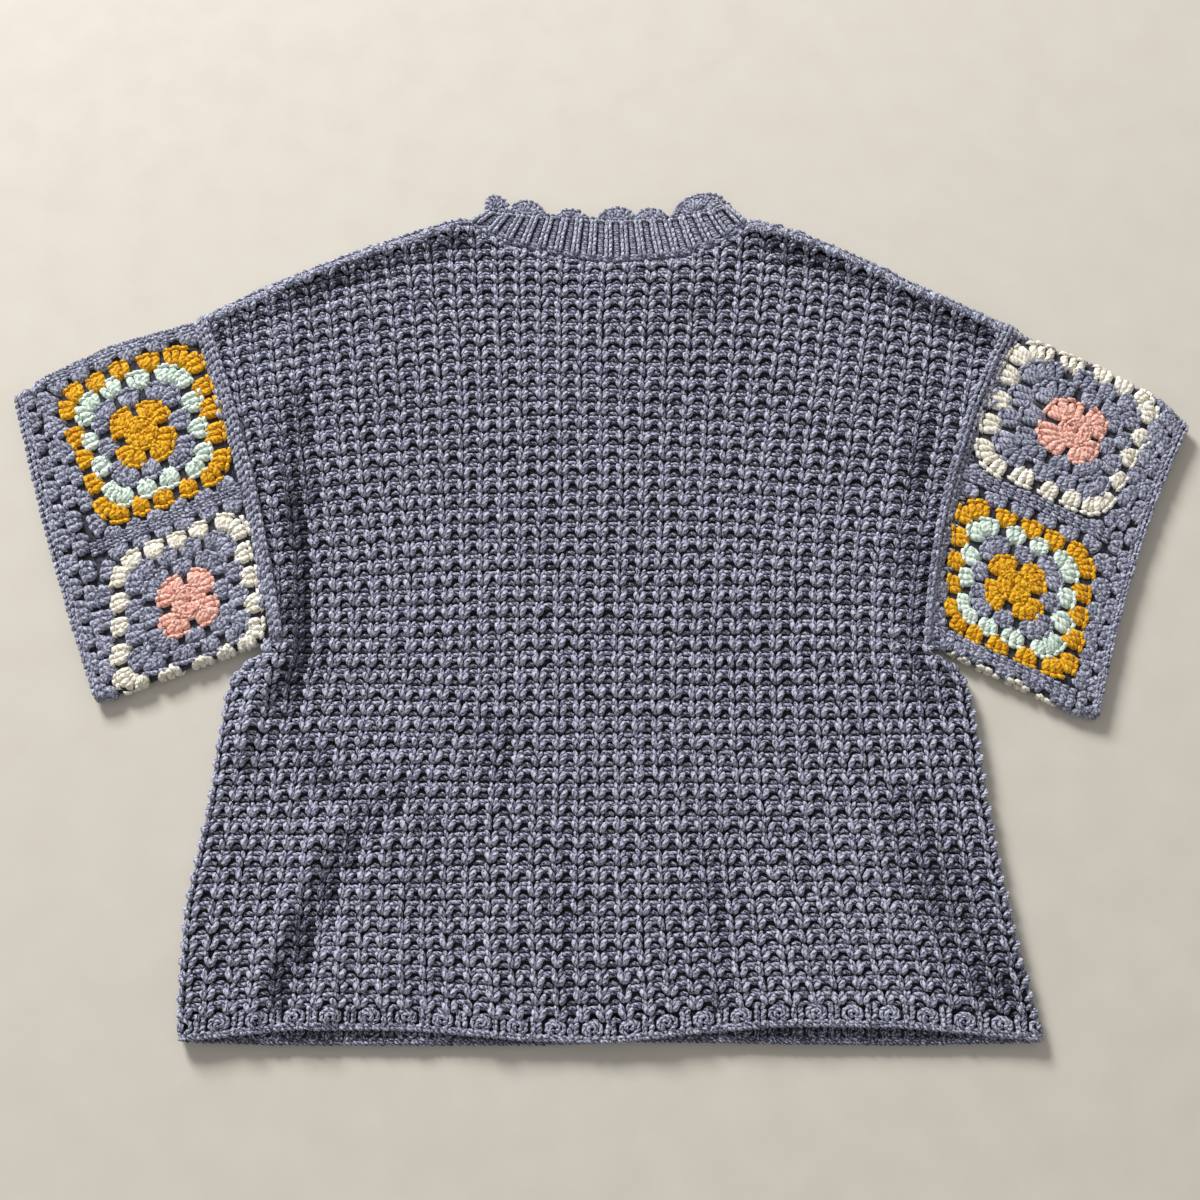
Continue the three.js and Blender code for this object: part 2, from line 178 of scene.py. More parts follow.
class Yarn:
    """Strands that become one mesh. Each runs through rings and comes to a point at both ends."""

    def __init__(self):
        self.batches = []
        self.count = 0

    def add(self, surface, route, radius, kind=0, sides=6, tall=0.9, tint=0.5):
        """route is an array [strand, station, 3] of places on the surface. The radius is in millimetres."""
        route = np.asarray(route, float)
        if not len(route):
            return
        centre = surface(route[..., 0], route[..., 1], route[..., 2])
        above = surface(route[..., 0], route[..., 1], route[..., 2] + MM)
        along = unit(np.gradient(centre, axis=1))
        side = unit(np.cross(along, above - centre))
        up = np.cross(side, along)
        strands, stations, _ = centre.shape
        rings = stations - 2
        angle = 2 * math.pi * np.arange(sides) / sides - math.pi / 2
        radius = np.broadcast_to(np.array(radius) * MM, (strands, rings))[..., None, None]
        spoke = np.cos(angle)[:, None] * side[:, 1:-1, None]
        spoke = spoke + tall * np.sin(angle)[:, None] * up[:, 1:-1, None]
        ring = (centre[:, 1:-1, None] + radius * spoke).reshape(strands, -1, 3)
        points = np.concatenate([centre[:, :1], ring, centre[:, -1:]], axis=1)
        points[..., 2] = np.maximum(points[..., 2], 0)  # yarn is pressed flat on the floor
        steps = np.diff(centre, axis=1, prepend=centre[:, :1])
        length = np.cumsum(np.linalg.norm(steps, axis=-1), axis=1)

        corners, sizes, turns, reached = self.pattern(rings, sides)
        per_strand = points.shape[1]
        starts = self.count + per_strand * np.arange(strands)
        shift = chance.random(strands)[:, None]
        tints = np.clip(tint + TINT_SPREAD * chance.standard_normal(strands), DARKEST, 1)
        self.batches.append((
            points.reshape(-1, 3),
            (starts[:, None] + corners).ravel(),
            np.tile(sizes, strands),
            joined(turns, length[:, reached] / CM + shift).reshape(-1, 2),
            np.full(strands * len(sizes), kind),
            np.repeat(tints, per_strand),
        ))
        self.count += strands * per_strand

    @staticmethod
    def pattern(rings, sides):
        """One strand's faces: their corners, how many each has, and each corner's turn and station."""
        def at(ring, s):
            return 1 + ring * sides + s % sides, s / sides, ring + 1

        faces = []
        for s in range(sides):
            first, last = (0, (s + 0.5) / sides, 0), (1 + rings * sides, (s + 0.5) / sides, rings + 1)
            faces.append([first, at(0, s + 1), at(0, s)])
            for ring in range(rings - 1):
                faces.append([at(ring, s), at(ring, s + 1), at(ring + 1, s + 1), at(ring + 1, s)])
            faces.append([last, at(rings - 1, s), at(rings - 1, s + 1)])
        corners, turns, reached = np.array([corner for face in faces for corner in face]).T
        sizes = np.array([len(face) for face in faces])
        return corners.astype(int), sizes, turns, reached.astype(int)

    def build(self, name, materials, slot):
        points, loops, sizes, maps, kinds, tints = (np.concatenate(part) for part in zip(*self.batches))
        mesh = bpy.data.meshes.new(name)
        mesh.vertices.add(len(points))
        mesh.loops.add(len(loops))
        mesh.polygons.add(len(sizes))
        for items, key, values, kind in (
            (mesh.vertices, "co", points, np.float32),
            (mesh.loops, "vertex_index", loops, np.int32),
            (mesh.polygons, "loop_start", np.cumsum(sizes) - sizes, np.int32),
            (mesh.polygons, "material_index", kinds, np.int32),
            (mesh.polygons, "use_smooth", np.ones(len(sizes)), bool),
        ):
            items.foreach_set(key, values.astype(kind).ravel())
        mesh.update(calc_edges=True)
        mesh.uv_layers.new(name="yarn", do_init=False)
        mesh.uv_layers["yarn"].uv.foreach_set("vector", maps.astype(np.float32).ravel())
        mesh.attributes.new("tint", "FLOAT", "POINT")
        mesh.attributes["tint"].data.foreach_set("value", tints.astype(np.float32))
        for material in materials:
            mesh.materials.append(material)
        return finished(bpy.data.objects.new(name, mesh))


def finished(piece):
    bpy.context.scene.collection.objects.link(piece)
    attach(piece, "root")
    return piece


def cloth(name, node, surface, a, b, material, ringed=False):
    """A thin cloth through a grid of places a and b, in place of a node. A ringed one closes along b."""
    rows, columns = len(a), len(b)
    a_grid, b_grid = np.meshgrid(a, b, indexing="ij")
    points = surface(a_grid, b_grid, np.zeros((rows, columns))).reshape(-1, 3)
    faces = []
    for r in range(rows - 1):
        for c in range(columns if ringed else columns - 1):
            here, there = r * columns + c, r * columns + (c + 1) % columns
            faces.append((here, there, there + columns, here + columns))
    mesh = bpy.data.meshes.new(name)
    mesh.from_pydata(points.tolist(), [], faces)
    mesh.polygons.foreach_set("use_smooth", np.ones(len(faces), bool))
    mesh.materials.append(material)
    piece = bpy.data.objects.new(name, mesh)
    solid = piece.modifiers.new("thickness", "SOLIDIFY")
    solid.thickness = CLOTH_THICKNESS
    solid.offset = 0
    finished(piece)
    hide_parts(node)
    return piece


# ---- materials

def srgb(*colour):
    """An 8-bit colour as linear light."""
    shares = [value / 255 for value in colour]
    return (*(v / 12.92 if v <= 0.04045 else ((v + 0.055) / 1.055) ** 2.4 for v in shares), 1.0)


class Nodes:
    """Makes and links the nodes of one material. Inputs are given by the names of their sockets."""

    def __init__(self, name):
        self.material = bpy.data.materials.new(name)
        self.material.use_nodes = True
        self.tree = self.material.node_tree
        self.shader = self.tree.nodes["Principled BSDF"]

    def fill(self, node, inputs):
        for socket, value in inputs.items():
            if isinstance(value, bpy.types.NodeSocket):
                self.tree.links.new(value, node.inputs[socket])
            else:
                node.inputs[socket].default_value = value

    def add(self, kind, inputs, output=0, **settings):
        node = self.tree.nodes.new(kind)
        for key, value in settings.items():
            setattr(node, key, value)
        self.fill(node, inputs)
        return node.outputs[output]

    def math(self, operation, *inputs):
        return self.add("ShaderNodeMath", dict(enumerate(inputs)), operation=operation)

    def noise(self, scale, detail):
        place = self.add("ShaderNodeTexCoord", {}, "Object")
        return self.add("ShaderNodeTexNoise", {"Vector": place, "Scale": scale, "Detail": detail}, "Fac")

    def ramp(self, factor, *stops):
        """A colour for the factor: each stop is a position and an 8-bit colour."""
        colour = self.add("ShaderNodeValToRGB", {"Fac": factor}, "Color")
        elements = colour.node.color_ramp.elements
        while len(elements) < len(stops):
            elements.new(0.5)
        for element, (position, shade) in zip(elements, stops):
            element.position = position
            element.color = srgb(*shade)
        return colour

    def finish(self, colour, roughness, **others):
        others = {key.replace("_", " "): value for key, value in others.items()}
        self.fill(self.shader, {"Base Color": colour, "Roughness": roughness, **others})
        return self.material

    def bump(self, height, strength, distance):
        inputs = {"Height": height, "Strength": strength, "Distance": distance}
        return self.add("ShaderNodeBump", inputs, "Normal")


PLIES = 3
PLY_LENGTH = 0.34  # how far one ply goes along for a full turn round the strand, in centimetres
PLY_WANDER = 0.5
FIBRES, CLOUDS, FLECKS = 1500, 260, 620  # the scales of the noise that stands for them
# How much each of these lightens the yarn, and the levels that they start from.
PLY_LIGHT = 0.8
FIBRE_LIGHT = 2.2
FLECK_LIGHT = 2.9
# The tint holds each strand's own variation and also painted shade and painted light.
TINT_LIGHT = 0.8
GRAIN_LEVEL = -3.06
TINT_LEVEL = 0.06


def yarn_material(name, dark, body, light, contrast=0.55, sheen=0.15):
    """Matte plied cotton: fine slanting plies, heathered fibres, and strands that vary a little, with
    painted shade and light carried in their tint.
    """
    nodes = Nodes(f"{name}_yarn")
    place = nodes.add("ShaderNodeUVMap", {}, uv_map="yarn")
    split = nodes.add("ShaderNodeSeparateXYZ", {0: place}).node
    fibre = nodes.noise(FIBRES, 2)
    turn = nodes.math("MULTIPLY", split.outputs["X"], float(PLIES))
    turn = nodes.math("ADD", turn, nodes.math("DIVIDE", split.outputs["Y"], PLY_LENGTH))
    turn = nodes.math("MULTIPLY_ADD", nodes.noise(CLOUDS, 3), PLY_WANDER, turn)
    ply = nodes.math("ABSOLUTE", nodes.math("SINE", nodes.math("MULTIPLY", turn, math.pi)))
    tint = nodes.add("ShaderNodeAttribute", {}, "Fac", attribute_name="tint")
    grain = nodes.math("MULTIPLY_ADD", fibre, FIBRE_LIGHT, GRAIN_LEVEL)
    grain = nodes.math("MULTIPLY_ADD", ply, PLY_LIGHT, grain)
    grain = nodes.math("MULTIPLY_ADD", nodes.noise(FLECKS, 3), FLECK_LIGHT, grain)
    shade = nodes.math("MULTIPLY_ADD", tint, TINT_LIGHT, TINT_LEVEL)
    level = nodes.math("MULTIPLY_ADD", grain, contrast, shade)
    colour = nodes.ramp(level, (0.0, dark), (0.5, body), (1.0, light))
    height = nodes.math("MULTIPLY_ADD", ply, 0.7, nodes.math("MULTIPLY", fibre, 0.4))
    return nodes.finish(
        colour, 0.92, Specular_IOR_Level=0.2, Sheen_Weight=sheen, Sheen_Roughness=0.5,
        Normal=nodes.bump(height, 0.9, 0.5 * MM),
    )


def shaded_ground_material(name, deep, shade):
    """The backs of stitches, seen only down in the gaps, given dark painted shade, as little light reaches
    them.
    """
    nodes = Nodes(name)
    colour = nodes.ramp(nodes.noise(420, 3), (0.35, deep), (0.7, shade))
    return nodes.finish(colour, 1.0, Normal=nodes.bump(nodes.noise(700, 2), 0.6, 0.6 * MM))


SLATE = yarn_material("slate", (50, 52, 68), (146, 149, 173), (198, 201, 220), 1.0, 0.25)
SMOOTH_SLATE = yarn_material("smooth_slate", (60, 62, 80), (146, 149, 171), (208, 211, 230), 0.6, 0.25)
MUSTARD = yarn_material("mustard", (168, 98, 4), (232, 170, 18), (255, 208, 58))
PINK = yarn_material("pink", (206, 134, 118), (246, 186, 170), (255, 220, 206))
MINT = yarn_material("mint", (172, 200, 184), (224, 240, 228), (248, 255, 250), sheen=0.1)
IVORY = yarn_material("ivory", (206, 196, 172), (246, 241, 228), (255, 254, 248), sheen=0.1)
COLOURS = [SMOOTH_SLATE, MUSTARD, PINK, MINT, IVORY]
SLATE_KIND, MUSTARD_KIND, PINK_KIND, MINT_KIND, IVORY_KIND = range(5)
# The backs are the same yarn as the stitches; their dark colours are painted shade.
SHADED_GROUND = shaded_ground_material("yarn_backs_painted_shade", (18, 19, 24), (54, 55, 64))
SHADED_CROCHET_GROUND = shaded_ground_material("crochet_backs_painted_shade", (34, 34, 42), (76, 78, 92))


# ---- creases

# Creases in millimetres: each is a bent line, how wide it is to either side, and how far it stands
# up, or dips if that is negative.
BODY_CREASES = [
    ([(-228, 150), (-222, 77), (-215, 1), (-217, -58), (-228, -100)], 12, -6.2),  # beside the left armhole
    ([(-216, 130), (-206, 40), (-196, -30), (-196, -90)], 9, 1.6),
    ([(-206, -40), (-213, -68), (-224, -104)], 10, -5.2),  # the hollow under the left arm
    ([(-222, -40), (-232, -70), (-242, -90), (-246, -130)], 7, 7.0),  # the fold that stands beside it
    ([(238, 165), (232, 116), (228, 54), (217, -21), (221, -80), (232, -112)], 9, -4.4),  # right armhole
    ([(222, 140), (212, 50), (205, 0), (208, -90)], 9, 1.5),
    ([(252, -40), (243, -70), (240, -100)], 8, -3.0),
    ([(-262, -70), (-232, -128), (-192, -190)], 11, 3.4),
    ([(-225, -105), (-190, -150), (-150, -175)], 9, -2.6),
    ([(-205, -100), (-160, -130), (-105, -135)], 10, 2.0),
    ([(-125, -130), (-143, -163), (-176, -197)], 8, -2.6),
    ([(-160, -180), (-178, -203), (-194, -237), (-212, -275), (-232, -360)], 9, -6.4),  # deep, to the hem
    ([(-166, -146), (-198, -196), (-216, -250), (-244, -370)], 8, 4.4),
    ([(-112, -140), (-152, -196), (-174, -250), (-196, -370)], 8, 3.0),
    ([(-121, -170), (-124, -250), (-118, -370)], 7, -2.2),
    ([(-78, -190), (-74, -260), (-66, -370)], 8, 2.6),
    ([(-30, -180), (-24, -250), (-18, -370)], 8, -2.0),
    ([(30, -200), (34, -280), (42, -370)], 9, 2.2),
    ([(66, -180), (74, -260), (84, -370)], 9, -2.0),
    ([(120, -190), (130, -270), (142, -370)], 10, 2.0),
    ([(205, -150), (220, -204), (240, -250), (263, -295), (290, -390)], 22, -3.6),  # broad
    ([(150, -120), (180, -190), (200, -260)], 12, 2.4),
    ([(-80, -90), (-72, -130), (-84, -170)], 10, -2.0),
    ([(-60, 250), (10, 236), (90, 246)], 12, 1.4),
    ([(110, 215), (95, 225), (60, 205)], 9, -2.0),
]
SLEEVE_CREASES = {
    "left": [
        ([(-3, -20), (-3, 130), (-3, 300)], 6, 4.2),
        ([(20, 148), (75, 150), (150, 146)], 6, -2.0),
        ([(100, 20), (125, 110), (128, 200)], 9, 1.4),
    ],
    "right": [
        ([(-3, -20), (-3, 130), (-3, 300)], 6, 3.6),
        ([(10, 209), (60, 214), (118, 222)], 6, -3.0),
        ([(20, 125), (75, 124), (150, 122)], 6, -2.0),
    ],
}


CREASE_UNEVEN = 0.22  # how much a crease's height varies along it, and over what length
CREASE_WAVE = 13 * MM


def crease_height(creases, x, y):
    """How far the creases raise the cloth at a place. They fade out at their ends, and are uneven."""
    total = np.zeros_like(x)
    for line, width, height in creases:
        line = np.array(line) * MM
        nearest = np.full_like(x, 1.0)
        place = np.zeros_like(x)
        travelled = 0.0
        for start, end in zip(line, line[1:]):
            step = end - start
            length = np.linalg.norm(step)
            t = np.clip(((x - start[0]) * step[0] + (y - start[1]) * step[1]) / length ** 2, 0, 1)
            away = np.hypot(x - start[0] - t * step[0], y - start[1] - t * step[1])
            place = np.where(away < nearest, travelled + t * length, place)
            nearest = np.minimum(nearest, away)
            travelled += length
        fade = np.sqrt(np.sin(math.pi * np.clip(place / travelled, 0, 1)))
        uneven = 1 + CREASE_UNEVEN * np.sin(place / CREASE_WAVE + height)
        total = total + height * MM * fade * uneven * np.exp(-(nearest / (width * MM)) ** 2)
    return total


def bump(distance, place, width, height):
    """A soft ridge or trough across a distance in metres. The rest is in millimetres."""
    return height * MM * np.exp(-((distance / MM - place) / width) ** 2)


# ---- the body's cloth

COLUMNS = 38  # knit columns across each layer
ROWS = 48  # repeats of the pattern from the hem rib to the collar, up the middle
EXTRA_ROWS = 6  # more of them that reach up into the shoulders
FIRST_ROW = -0.5  # the lowest row reaches down to the hem rib
ROW_PITCH = (10.1 * MM, 6.6 * MM, -5.8 * MM)  # at the hem, and how it changes up the body
CELL = np.array([14.3, 11.5]) * MM  # the size that the stitches are drawn for
LEAN = 0.03  # how much narrower the columns on the left are, and how much wider those on the right
DROOP = 53 * MM  # how much lower a row ends at the shoulder tips than in the middle
NECK_MIDDLE = 6 * MM
NECK_HALF = 100 * MM  # how far to either side the neck's edge counts as level
NECK_DIP = 8 * MM  # how much lower the rows run below the neck
NECK_DIP_WIDTH = 75 * MM
STITCH = 4.4 * MM  # height of the stitches on the cloth behind them
SIDE_TURN = 3.5 * MM  # radius of the cloth where it folds over at the sides
SIDE_OPENS = 20 * MM  # below the underarm, until the side is a whole fold
EDGE_TURN = 5 * MM  # the radius of the fold along the shoulders and the neck
ROLL_STARTS = 95 * MM  # how far from the neck's middle the shoulder seam starts to roll
ROLL_GROWS = 20 * MM
ROLL_WAVE = 19 * MM
LAYER_GAP = 1.8 * MM  # the upper layer's backing stays at least that far above the lower one's
HIDDEN_FOLDS = 0.4  # the lower layer lies on the floor, so its creases go inwards, and less far
DIP_SHADE = 0.15  # painted shade: how much darker tint a millimetre of depth is worth; RISE_SHADE is the painted light for a millimetre of height
RISE_SHADE = 0.025
HEM_SHARE = 0.75  # how far up the hem's solid the knit starts
HEM_WAVES = 0.25  # the share of the body up which the hem's waves fade out
JOIN_BELOW = 8 * MM  # how far below the underarm the side leaves the solid's outline
EASE = 12  # levels on either side over which a bend in the side is rounded off
WANDER, DRIFT = 0.8 * MM, 1.0 * MM  # how far stitches stray up or down, and sideways
PAST_SIDE = 5 * MM  # how far past the side a stitch's middle may lie
BELOW_UNDERARM = 10 * MM  # from there down every column is on the layer
NECK_MARGIN, SHOULDER_MARGIN = 0.5 * MM, 3.5 * MM  # how far below the edge the top stitches end


class Body:
    """One layer of the body: column and row to a place, with the layer's own outline."""

    def __init__(self, layer):
        self.layer = layer
        names = [f"{layer}_panel", f"{layer}_hem_rib"]
        low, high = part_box(names[0])
        hem_low, hem_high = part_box(names[1])
        self.hem_top = lerp(hem_low.y, hem_high.y, HEM_SHARE)
        self.levels = np.linspace(hem_low.y + 3 * MM, high.y - 2 * MM, 90)
        self.sides = np.array([cut(names, (0, y), (1, 0)) for y in self.levels]).T
        self.xs = np.linspace(low.x + 2 * MM, high.x - 2 * MM, 120)
        self.tops = np.array([cut(names, (x, 0), (0, 1))[1] for x in self.xs])
        self.hem_xs = np.linspace(self.sides[0, 0] + MM, self.sides[1, 0] - MM, 60)
        self.bottoms = np.array([cut([names[1]], (x, 0), (0, 1))[0] for x in self.hem_xs])
        self.bottom = self.bottoms.mean()
        points = MESHES[names[0]][0]
        self.tips = np.array([points[points[:, 0].argmin()], points[points[:, 0].argmax()]])
        self.underarm = min(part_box(f"{side}_armhole_edging")[0].y for side in ("left", "right"))
        self.straight = [self.straightened(side, tip) for side, tip in zip(self.sides, self.tips)]
        self.eased = [self.rounded(side) for side in self.straight]

    def straightened(self, side, tip):
        """The side, which above the underarm goes straight to the shoulder tip, over the sleeve."""
        start = self.underarm - JOIN_BELOW
        share = (self.levels - start) / (tip[1] - start)
        straight = lerp(np.interp(start, self.levels, side), tip[0], share)
        return np.where(self.levels < start, side, straight)

    @staticmethod
    def rounded(side):
        """The side with its bends rounded off, as the inner columns take it."""
        before = 2 * side[0] - side[EASE:0:-1]
        after = 2 * side[-1] - side[-2:-EASE - 2:-1]
        window = np.ones(2 * EASE + 1) / (2 * EASE + 1)
        return np.convolve(np.concatenate([before, side, after]), window, mode="valid")

    def across(self, y, sides):
        """Where the left and the right one of these sides lie at a level."""
        return [np.interp(y, self.levels, side) for side in sides]

    def top_at(self, x):
        return np.interp(x, self.xs, self.tops)

    def row_level(self, row):
        share = np.minimum(row / ROWS, 1)
        first, second, third = ROW_PITCH
        climbed = ROWS * (first * share + second * share ** 2 / 2 + third * share ** 3 / 3)
        return self.hem_top + climbed + np.maximum(row - ROWS, 0) * sum(ROW_PITCH)

    def plan(self, column, row):
        s = 2 * column / COLUMNS - 1
        share = np.clip(row / ROWS, 0, None)
        y = self.row_level(row) - DROOP * share ** 3 * s ** 2
        pairs = zip(self.across(y, self.eased), self.across(y, self.straight))
        left, right = (lerp(inner, outer, s ** 6) for inner, outer in pairs)
        x = (left + right) / 2 + (right - left) / 2 * (s - LEAN * (1 - s * s))
        y = y - NECK_DIP * np.exp(-((x - NECK_MIDDLE) / NECK_DIP_WIDTH) ** 2) * share ** 8
        near_hem = np.clip(1 - share / HEM_WAVES, 0, 1) ** 2
        y = y + near_hem * (np.interp(x, self.hem_xs, self.bottoms) - self.bottom)
        # Waves of unlike lengths, so that no two rows or columns run alike.
        wander = WANDER * (np.sin(x * 31 + row * 0.4) + np.sin(x * 13 + y * 23))
        drift = DRIFT * (np.sin(y * 27 + column * 0.3) + np.sin(y * 11 - column * 0.5))
        return x + drift * (1 - s ** 8), y + wander

    def __call__(self, column, row, height):
        return self.lay(*self.plan(column, row), height)

    def lay(self, x, y, height):
        """The cloth at a flat place. It turns over at the sides and along the shoulders and neck."""
        folded = np.clip((self.underarm - y) / SIDE_OPENS, 0, 1)
        turned, sideways = np.zeros_like(x), np.zeros_like(x)
        for side, out in zip(self.across(y, self.sides), (-1, 1)):
            start = side - out * (STITCH / 2 + SIDE_TURN * math.pi / 2)
            angle = np.clip(out * (x - start) / SIDE_TURN, 0, math.pi / 2) * folded
            x = np.where(angle > 0, start + out * SIDE_TURN * np.sin(angle), x)
            turned = turned + angle
            sideways = sideways + out * np.sin(angle)
        tilt = np.arcsin(np.clip(1 - (self.top_at(x) - STITCH - y) / EDGE_TURN, 0, 1))
        rise = np.cos(turned) * np.cos(tilt)
        normal = unit(joined(sideways, np.sin(tilt) * np.cos(turned), rise))
        folds = self.folds(x, y)
        if self.layer == "back":
            z = MIDDLE + np.maximum(top_height(x, y) - STITCH - MIDDLE + folds, LAYER_GAP) * rise
        else:
            z = MIDDLE - (MIDDLE - STITCH) * rise + np.minimum(HIDDEN_FOLDS * np.abs(folds), LAYER_GAP / 2)
            normal = normal * (1, 1, -1)
        return joined(x, y, z) + height[..., None] * normal

    def folds(self, x, y):
        """The creases, with the shoulder seams, which roll a little above a trough."""
        below = self.top_at(x) - y
        out = np.clip((np.abs(x - NECK_MIDDLE) - ROLL_STARTS) / ROLL_GROWS, 0, 1)
        uneven = 1 + 0.3 * np.sin(x / ROLL_WAVE)
        roll = bump(below, 7, 6, 2.6) + bump(below, 25, 10, -4.8)
        return crease_height(BODY_CREASES, x, y) + out * uneven * roll

    def shade(self, column, row):
        """Painted shade and light: how much darker the yarn is tinted down in the creases, where little
        light comes, and how much lighter on top.
        """
        folds = self.folds(*self.plan(column, row))
        return DIP_SHADE * np.minimum(folds, 0) / MM + RISE_SHADE * np.maximum(folds, 0) / MM

    def covers(self, column, row):
        """Whether a place is on the layer or just past its sides, and well below the upper edge."""
        x, y = self.plan(column, row)
        left, right = self.across(y, self.sides)
        margin = np.where(np.abs(x - NECK_MIDDLE) < NECK_HALF, NECK_MARGIN, SHOULDER_MARGIN)
        inside = (x > left - PAST_SIDE) & (x < right + PAST_SIDE) & (y < self.top_at(x) - margin)
        return inside | (y < self.underarm - BELOW_UNDERARM)

    def hem(self, x, up, height):
        """The hem rib: a distance across, and a share of the way from its edge to the knit above."""
        bottom = np.interp(x, self.hem_xs, self.bottoms)
        return self.lay(x, lerp(bottom, self.hem_top + bottom - self.bottom, up), height)

    def panel(self, u, v, height):
        """The whole panel, as shares of the way across and up."""
        tip = lerp(self.tips[0], self.tips[1], u[..., None])
        left, right = self.across(lerp(self.hem_top, tip[..., 1] - MM, v), self.sides)
        x = lerp(left + STITCH / 2, right - STITCH / 2, u)
        return self.lay(x, lerp(self.hem_top, self.top_at(tip[..., 0]) - STITCH / 2, v), height)


BODY = {"back": Body("back"), "front": Body("front")}


# ---- flat tubes: sleeves and collar

FOLD = 2.6 * MM  # radius in a fold at which the pattern keeps its size


class FlatTube:
    """A tube pressed flat: p runs along it, q round it from one fold over the top, in metres."""

    def __init__(self, plan, width, middle, core, at):
        """core is the radius of its cloth in a fold, and at the place along it where its size is taken."""
        self.plan, self.width, self.middle, self.core = plan, width, middle, core
        self.quarter = FOLD * math.pi / 2
        self.half = float(self.half_round(np.array(at)))

    def half_round(self, p):
        return self.width(p) - 2 * self.middle + 2 * self.quarter

    def __call__(self, p, q, height):
        width = self.width(p)
        half = self.half_round(p)
        turn = np.mod(q / self.half, 2)
        under = turn > 1
        s = np.where(under, 2 - turn, turn) * half
        radius = self.core + height
        near = s < self.quarter
        far = s > half - self.quarter
        angle = np.where(near, s, np.where(far, half - s, self.quarter)) / FOLD
        across = np.where(far, width - self.middle + radius * np.cos(angle), self.middle + s - self.quarter)
        across = np.where(near, self.middle - radius * np.cos(angle), across)
        z = self.middle + np.where(under, -1, 1) * radius * np.sin(angle)
        return joined(*self.plan(p, across / width), z)

    def round_at(self, across, under=False):
        """How far round the tube a place lies, from how far it is from the first fold in plan."""
        q = self.quarter + across - self.middle
        return 2 * self.half - q if under else q


class Sleeve(FlatTube):
    """A sleeve. p is 0 on the armhole, and q is 0 on the upper fold."""

    SQUARES = ("top_upper", "top_lower", "under_lower", "under_upper")
    CORE = 4.1 * MM  # how far inside the fold's outline the cloth lies
    DEEPEST = -0.6 * MM  # creases on top go no deeper, as the under side is close below

    def __init__(self, side):
        self.side = side
        self.names = [f"{side}_square_{square}" for square in self.SQUARES]
        edging, cuff = f"{side}_armhole_edging", f"{side}_cuff_edging"
        inner, outer = (np.array(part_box(name)[0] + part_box(name)[1])[:2] / 2 for name in (edging, cuff))
        out = unit(outer - inner)
        up = np.array([-out[1], out[0]])
        up = up * np.sign(up[1])
        top = self.names[0]
        join, far_join = corner([top], -out, -up), corner([top], out, -up)
        centre = (join + far_join) / 2
        low, high = cut(self.names, centre, up)
        seam = cut([top], centre, up)[0]
        start = join + out * cut([edging], join, out)[0]
        end = far_join + out * cut([cuff], far_join, out)[1]
        # At each station out along the sleeve: the upper fold, where the squares join, the lower fold.
        self.lines = np.array([
            [corner([edging], -out, up), start, corner([edging], -out, -up)],
            [centre + up * high, centre + up * seam, centre + up * low],
            [corner(self.names, out, up), far_join, corner(self.names, out, -up)],
            [corner([cuff], out, up), end, corner([cuff], out, -up)],
        ])
        steps = np.linalg.norm(np.diff(self.lines, axis=0), axis=-1).mean(1)
        self.stations = np.concatenate([[0], np.cumsum(steps)])
        self.length = self.stations[-1]
        self.join_share = self.share(self.lines[:, 1]).mean()
        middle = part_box(cuff)[1].z / 2
        super().__init__(self.place, self.reach, middle, middle - self.CORE, self.stations[1])
        self.squares_start = np.linalg.norm(join - self.lines[0, 1])
        self.squares_end = self.stations[2]
        joins = [self.join_at(i, centre, up) for i in range(4)]
        self.joins = joins + [joins[0] + 2 * self.half]
        self.creases = SLEEVE_CREASES[side]

    def __call__(self, p, q, height):
        on_top = (np.mod(q / self.half, 2) < 1) * 1.0
        folds = np.maximum(crease_height(self.creases, p, q), self.DEEPEST)
        return super().__call__(p, q, height + on_top * folds)

    def share(self, points):
        upper, lower = self.lines[:, 0], self.lines[:, 2]
        line = lower - upper
        return ((points - upper) * line).sum(-1) / (line * line).sum(-1)

    def along(self, values, p):
        """Read off along the sleeve, and carried on straight over the body at the armhole."""
        slope = (values[1] - values[0]) / self.stations[1]
        return np.interp(p, self.stations, values) + slope * np.minimum(p, 0)

    def reach(self, p):
        return self.along(np.linalg.norm(self.lines[:, 2] - self.lines[:, 0], axis=-1), p)

    def place(self, p, share):
        """Across the sleeve a line curves from fold to fold through the join of the squares."""
        middle = self.join_share
        weights = [
            (share - middle) * (share - 1) / middle,
            share * (share - 1) / (middle * (middle - 1)),
            share * (share - middle) / (1 - middle),
        ]
        return [
            sum(w * self.along(self.lines[:, i, axis], p) for i, w in enumerate(weights))
            for axis in (0, 1)
        ]

    def join_at(self, index, centre, up):
        """How far round the sleeve square number index starts."""
        before, after = self.names[index - 1], self.names[index]
        low, high = cut(self.names, centre, up)
        if index == 1:
            return self.round_at(high - cut([after], centre, up)[1])
        if index == 3:
            return self.round_at(high - cut([after], centre, up)[0], under=True)
        top, under = (after, before) if index == 0 else (before, after)
        side = 1 if index == 0 else 0
        edge = high if index == 0 else low
        gaps = [abs(edge - cut([name], centre, up)[side]) for name in (top, under)]
        fold = 0 if index == 0 else self.half
        onto_top = 1 if index == 0 else -1
        if gaps[0] > gaps[1]:
            return fold + onto_top * (gaps[0] - self.middle + self.quarter)
        return fold - onto_top * (gaps[1] - self.middle + self.quarter)


SLEEVES = {side: Sleeve(side) for side in ("left", "right")}


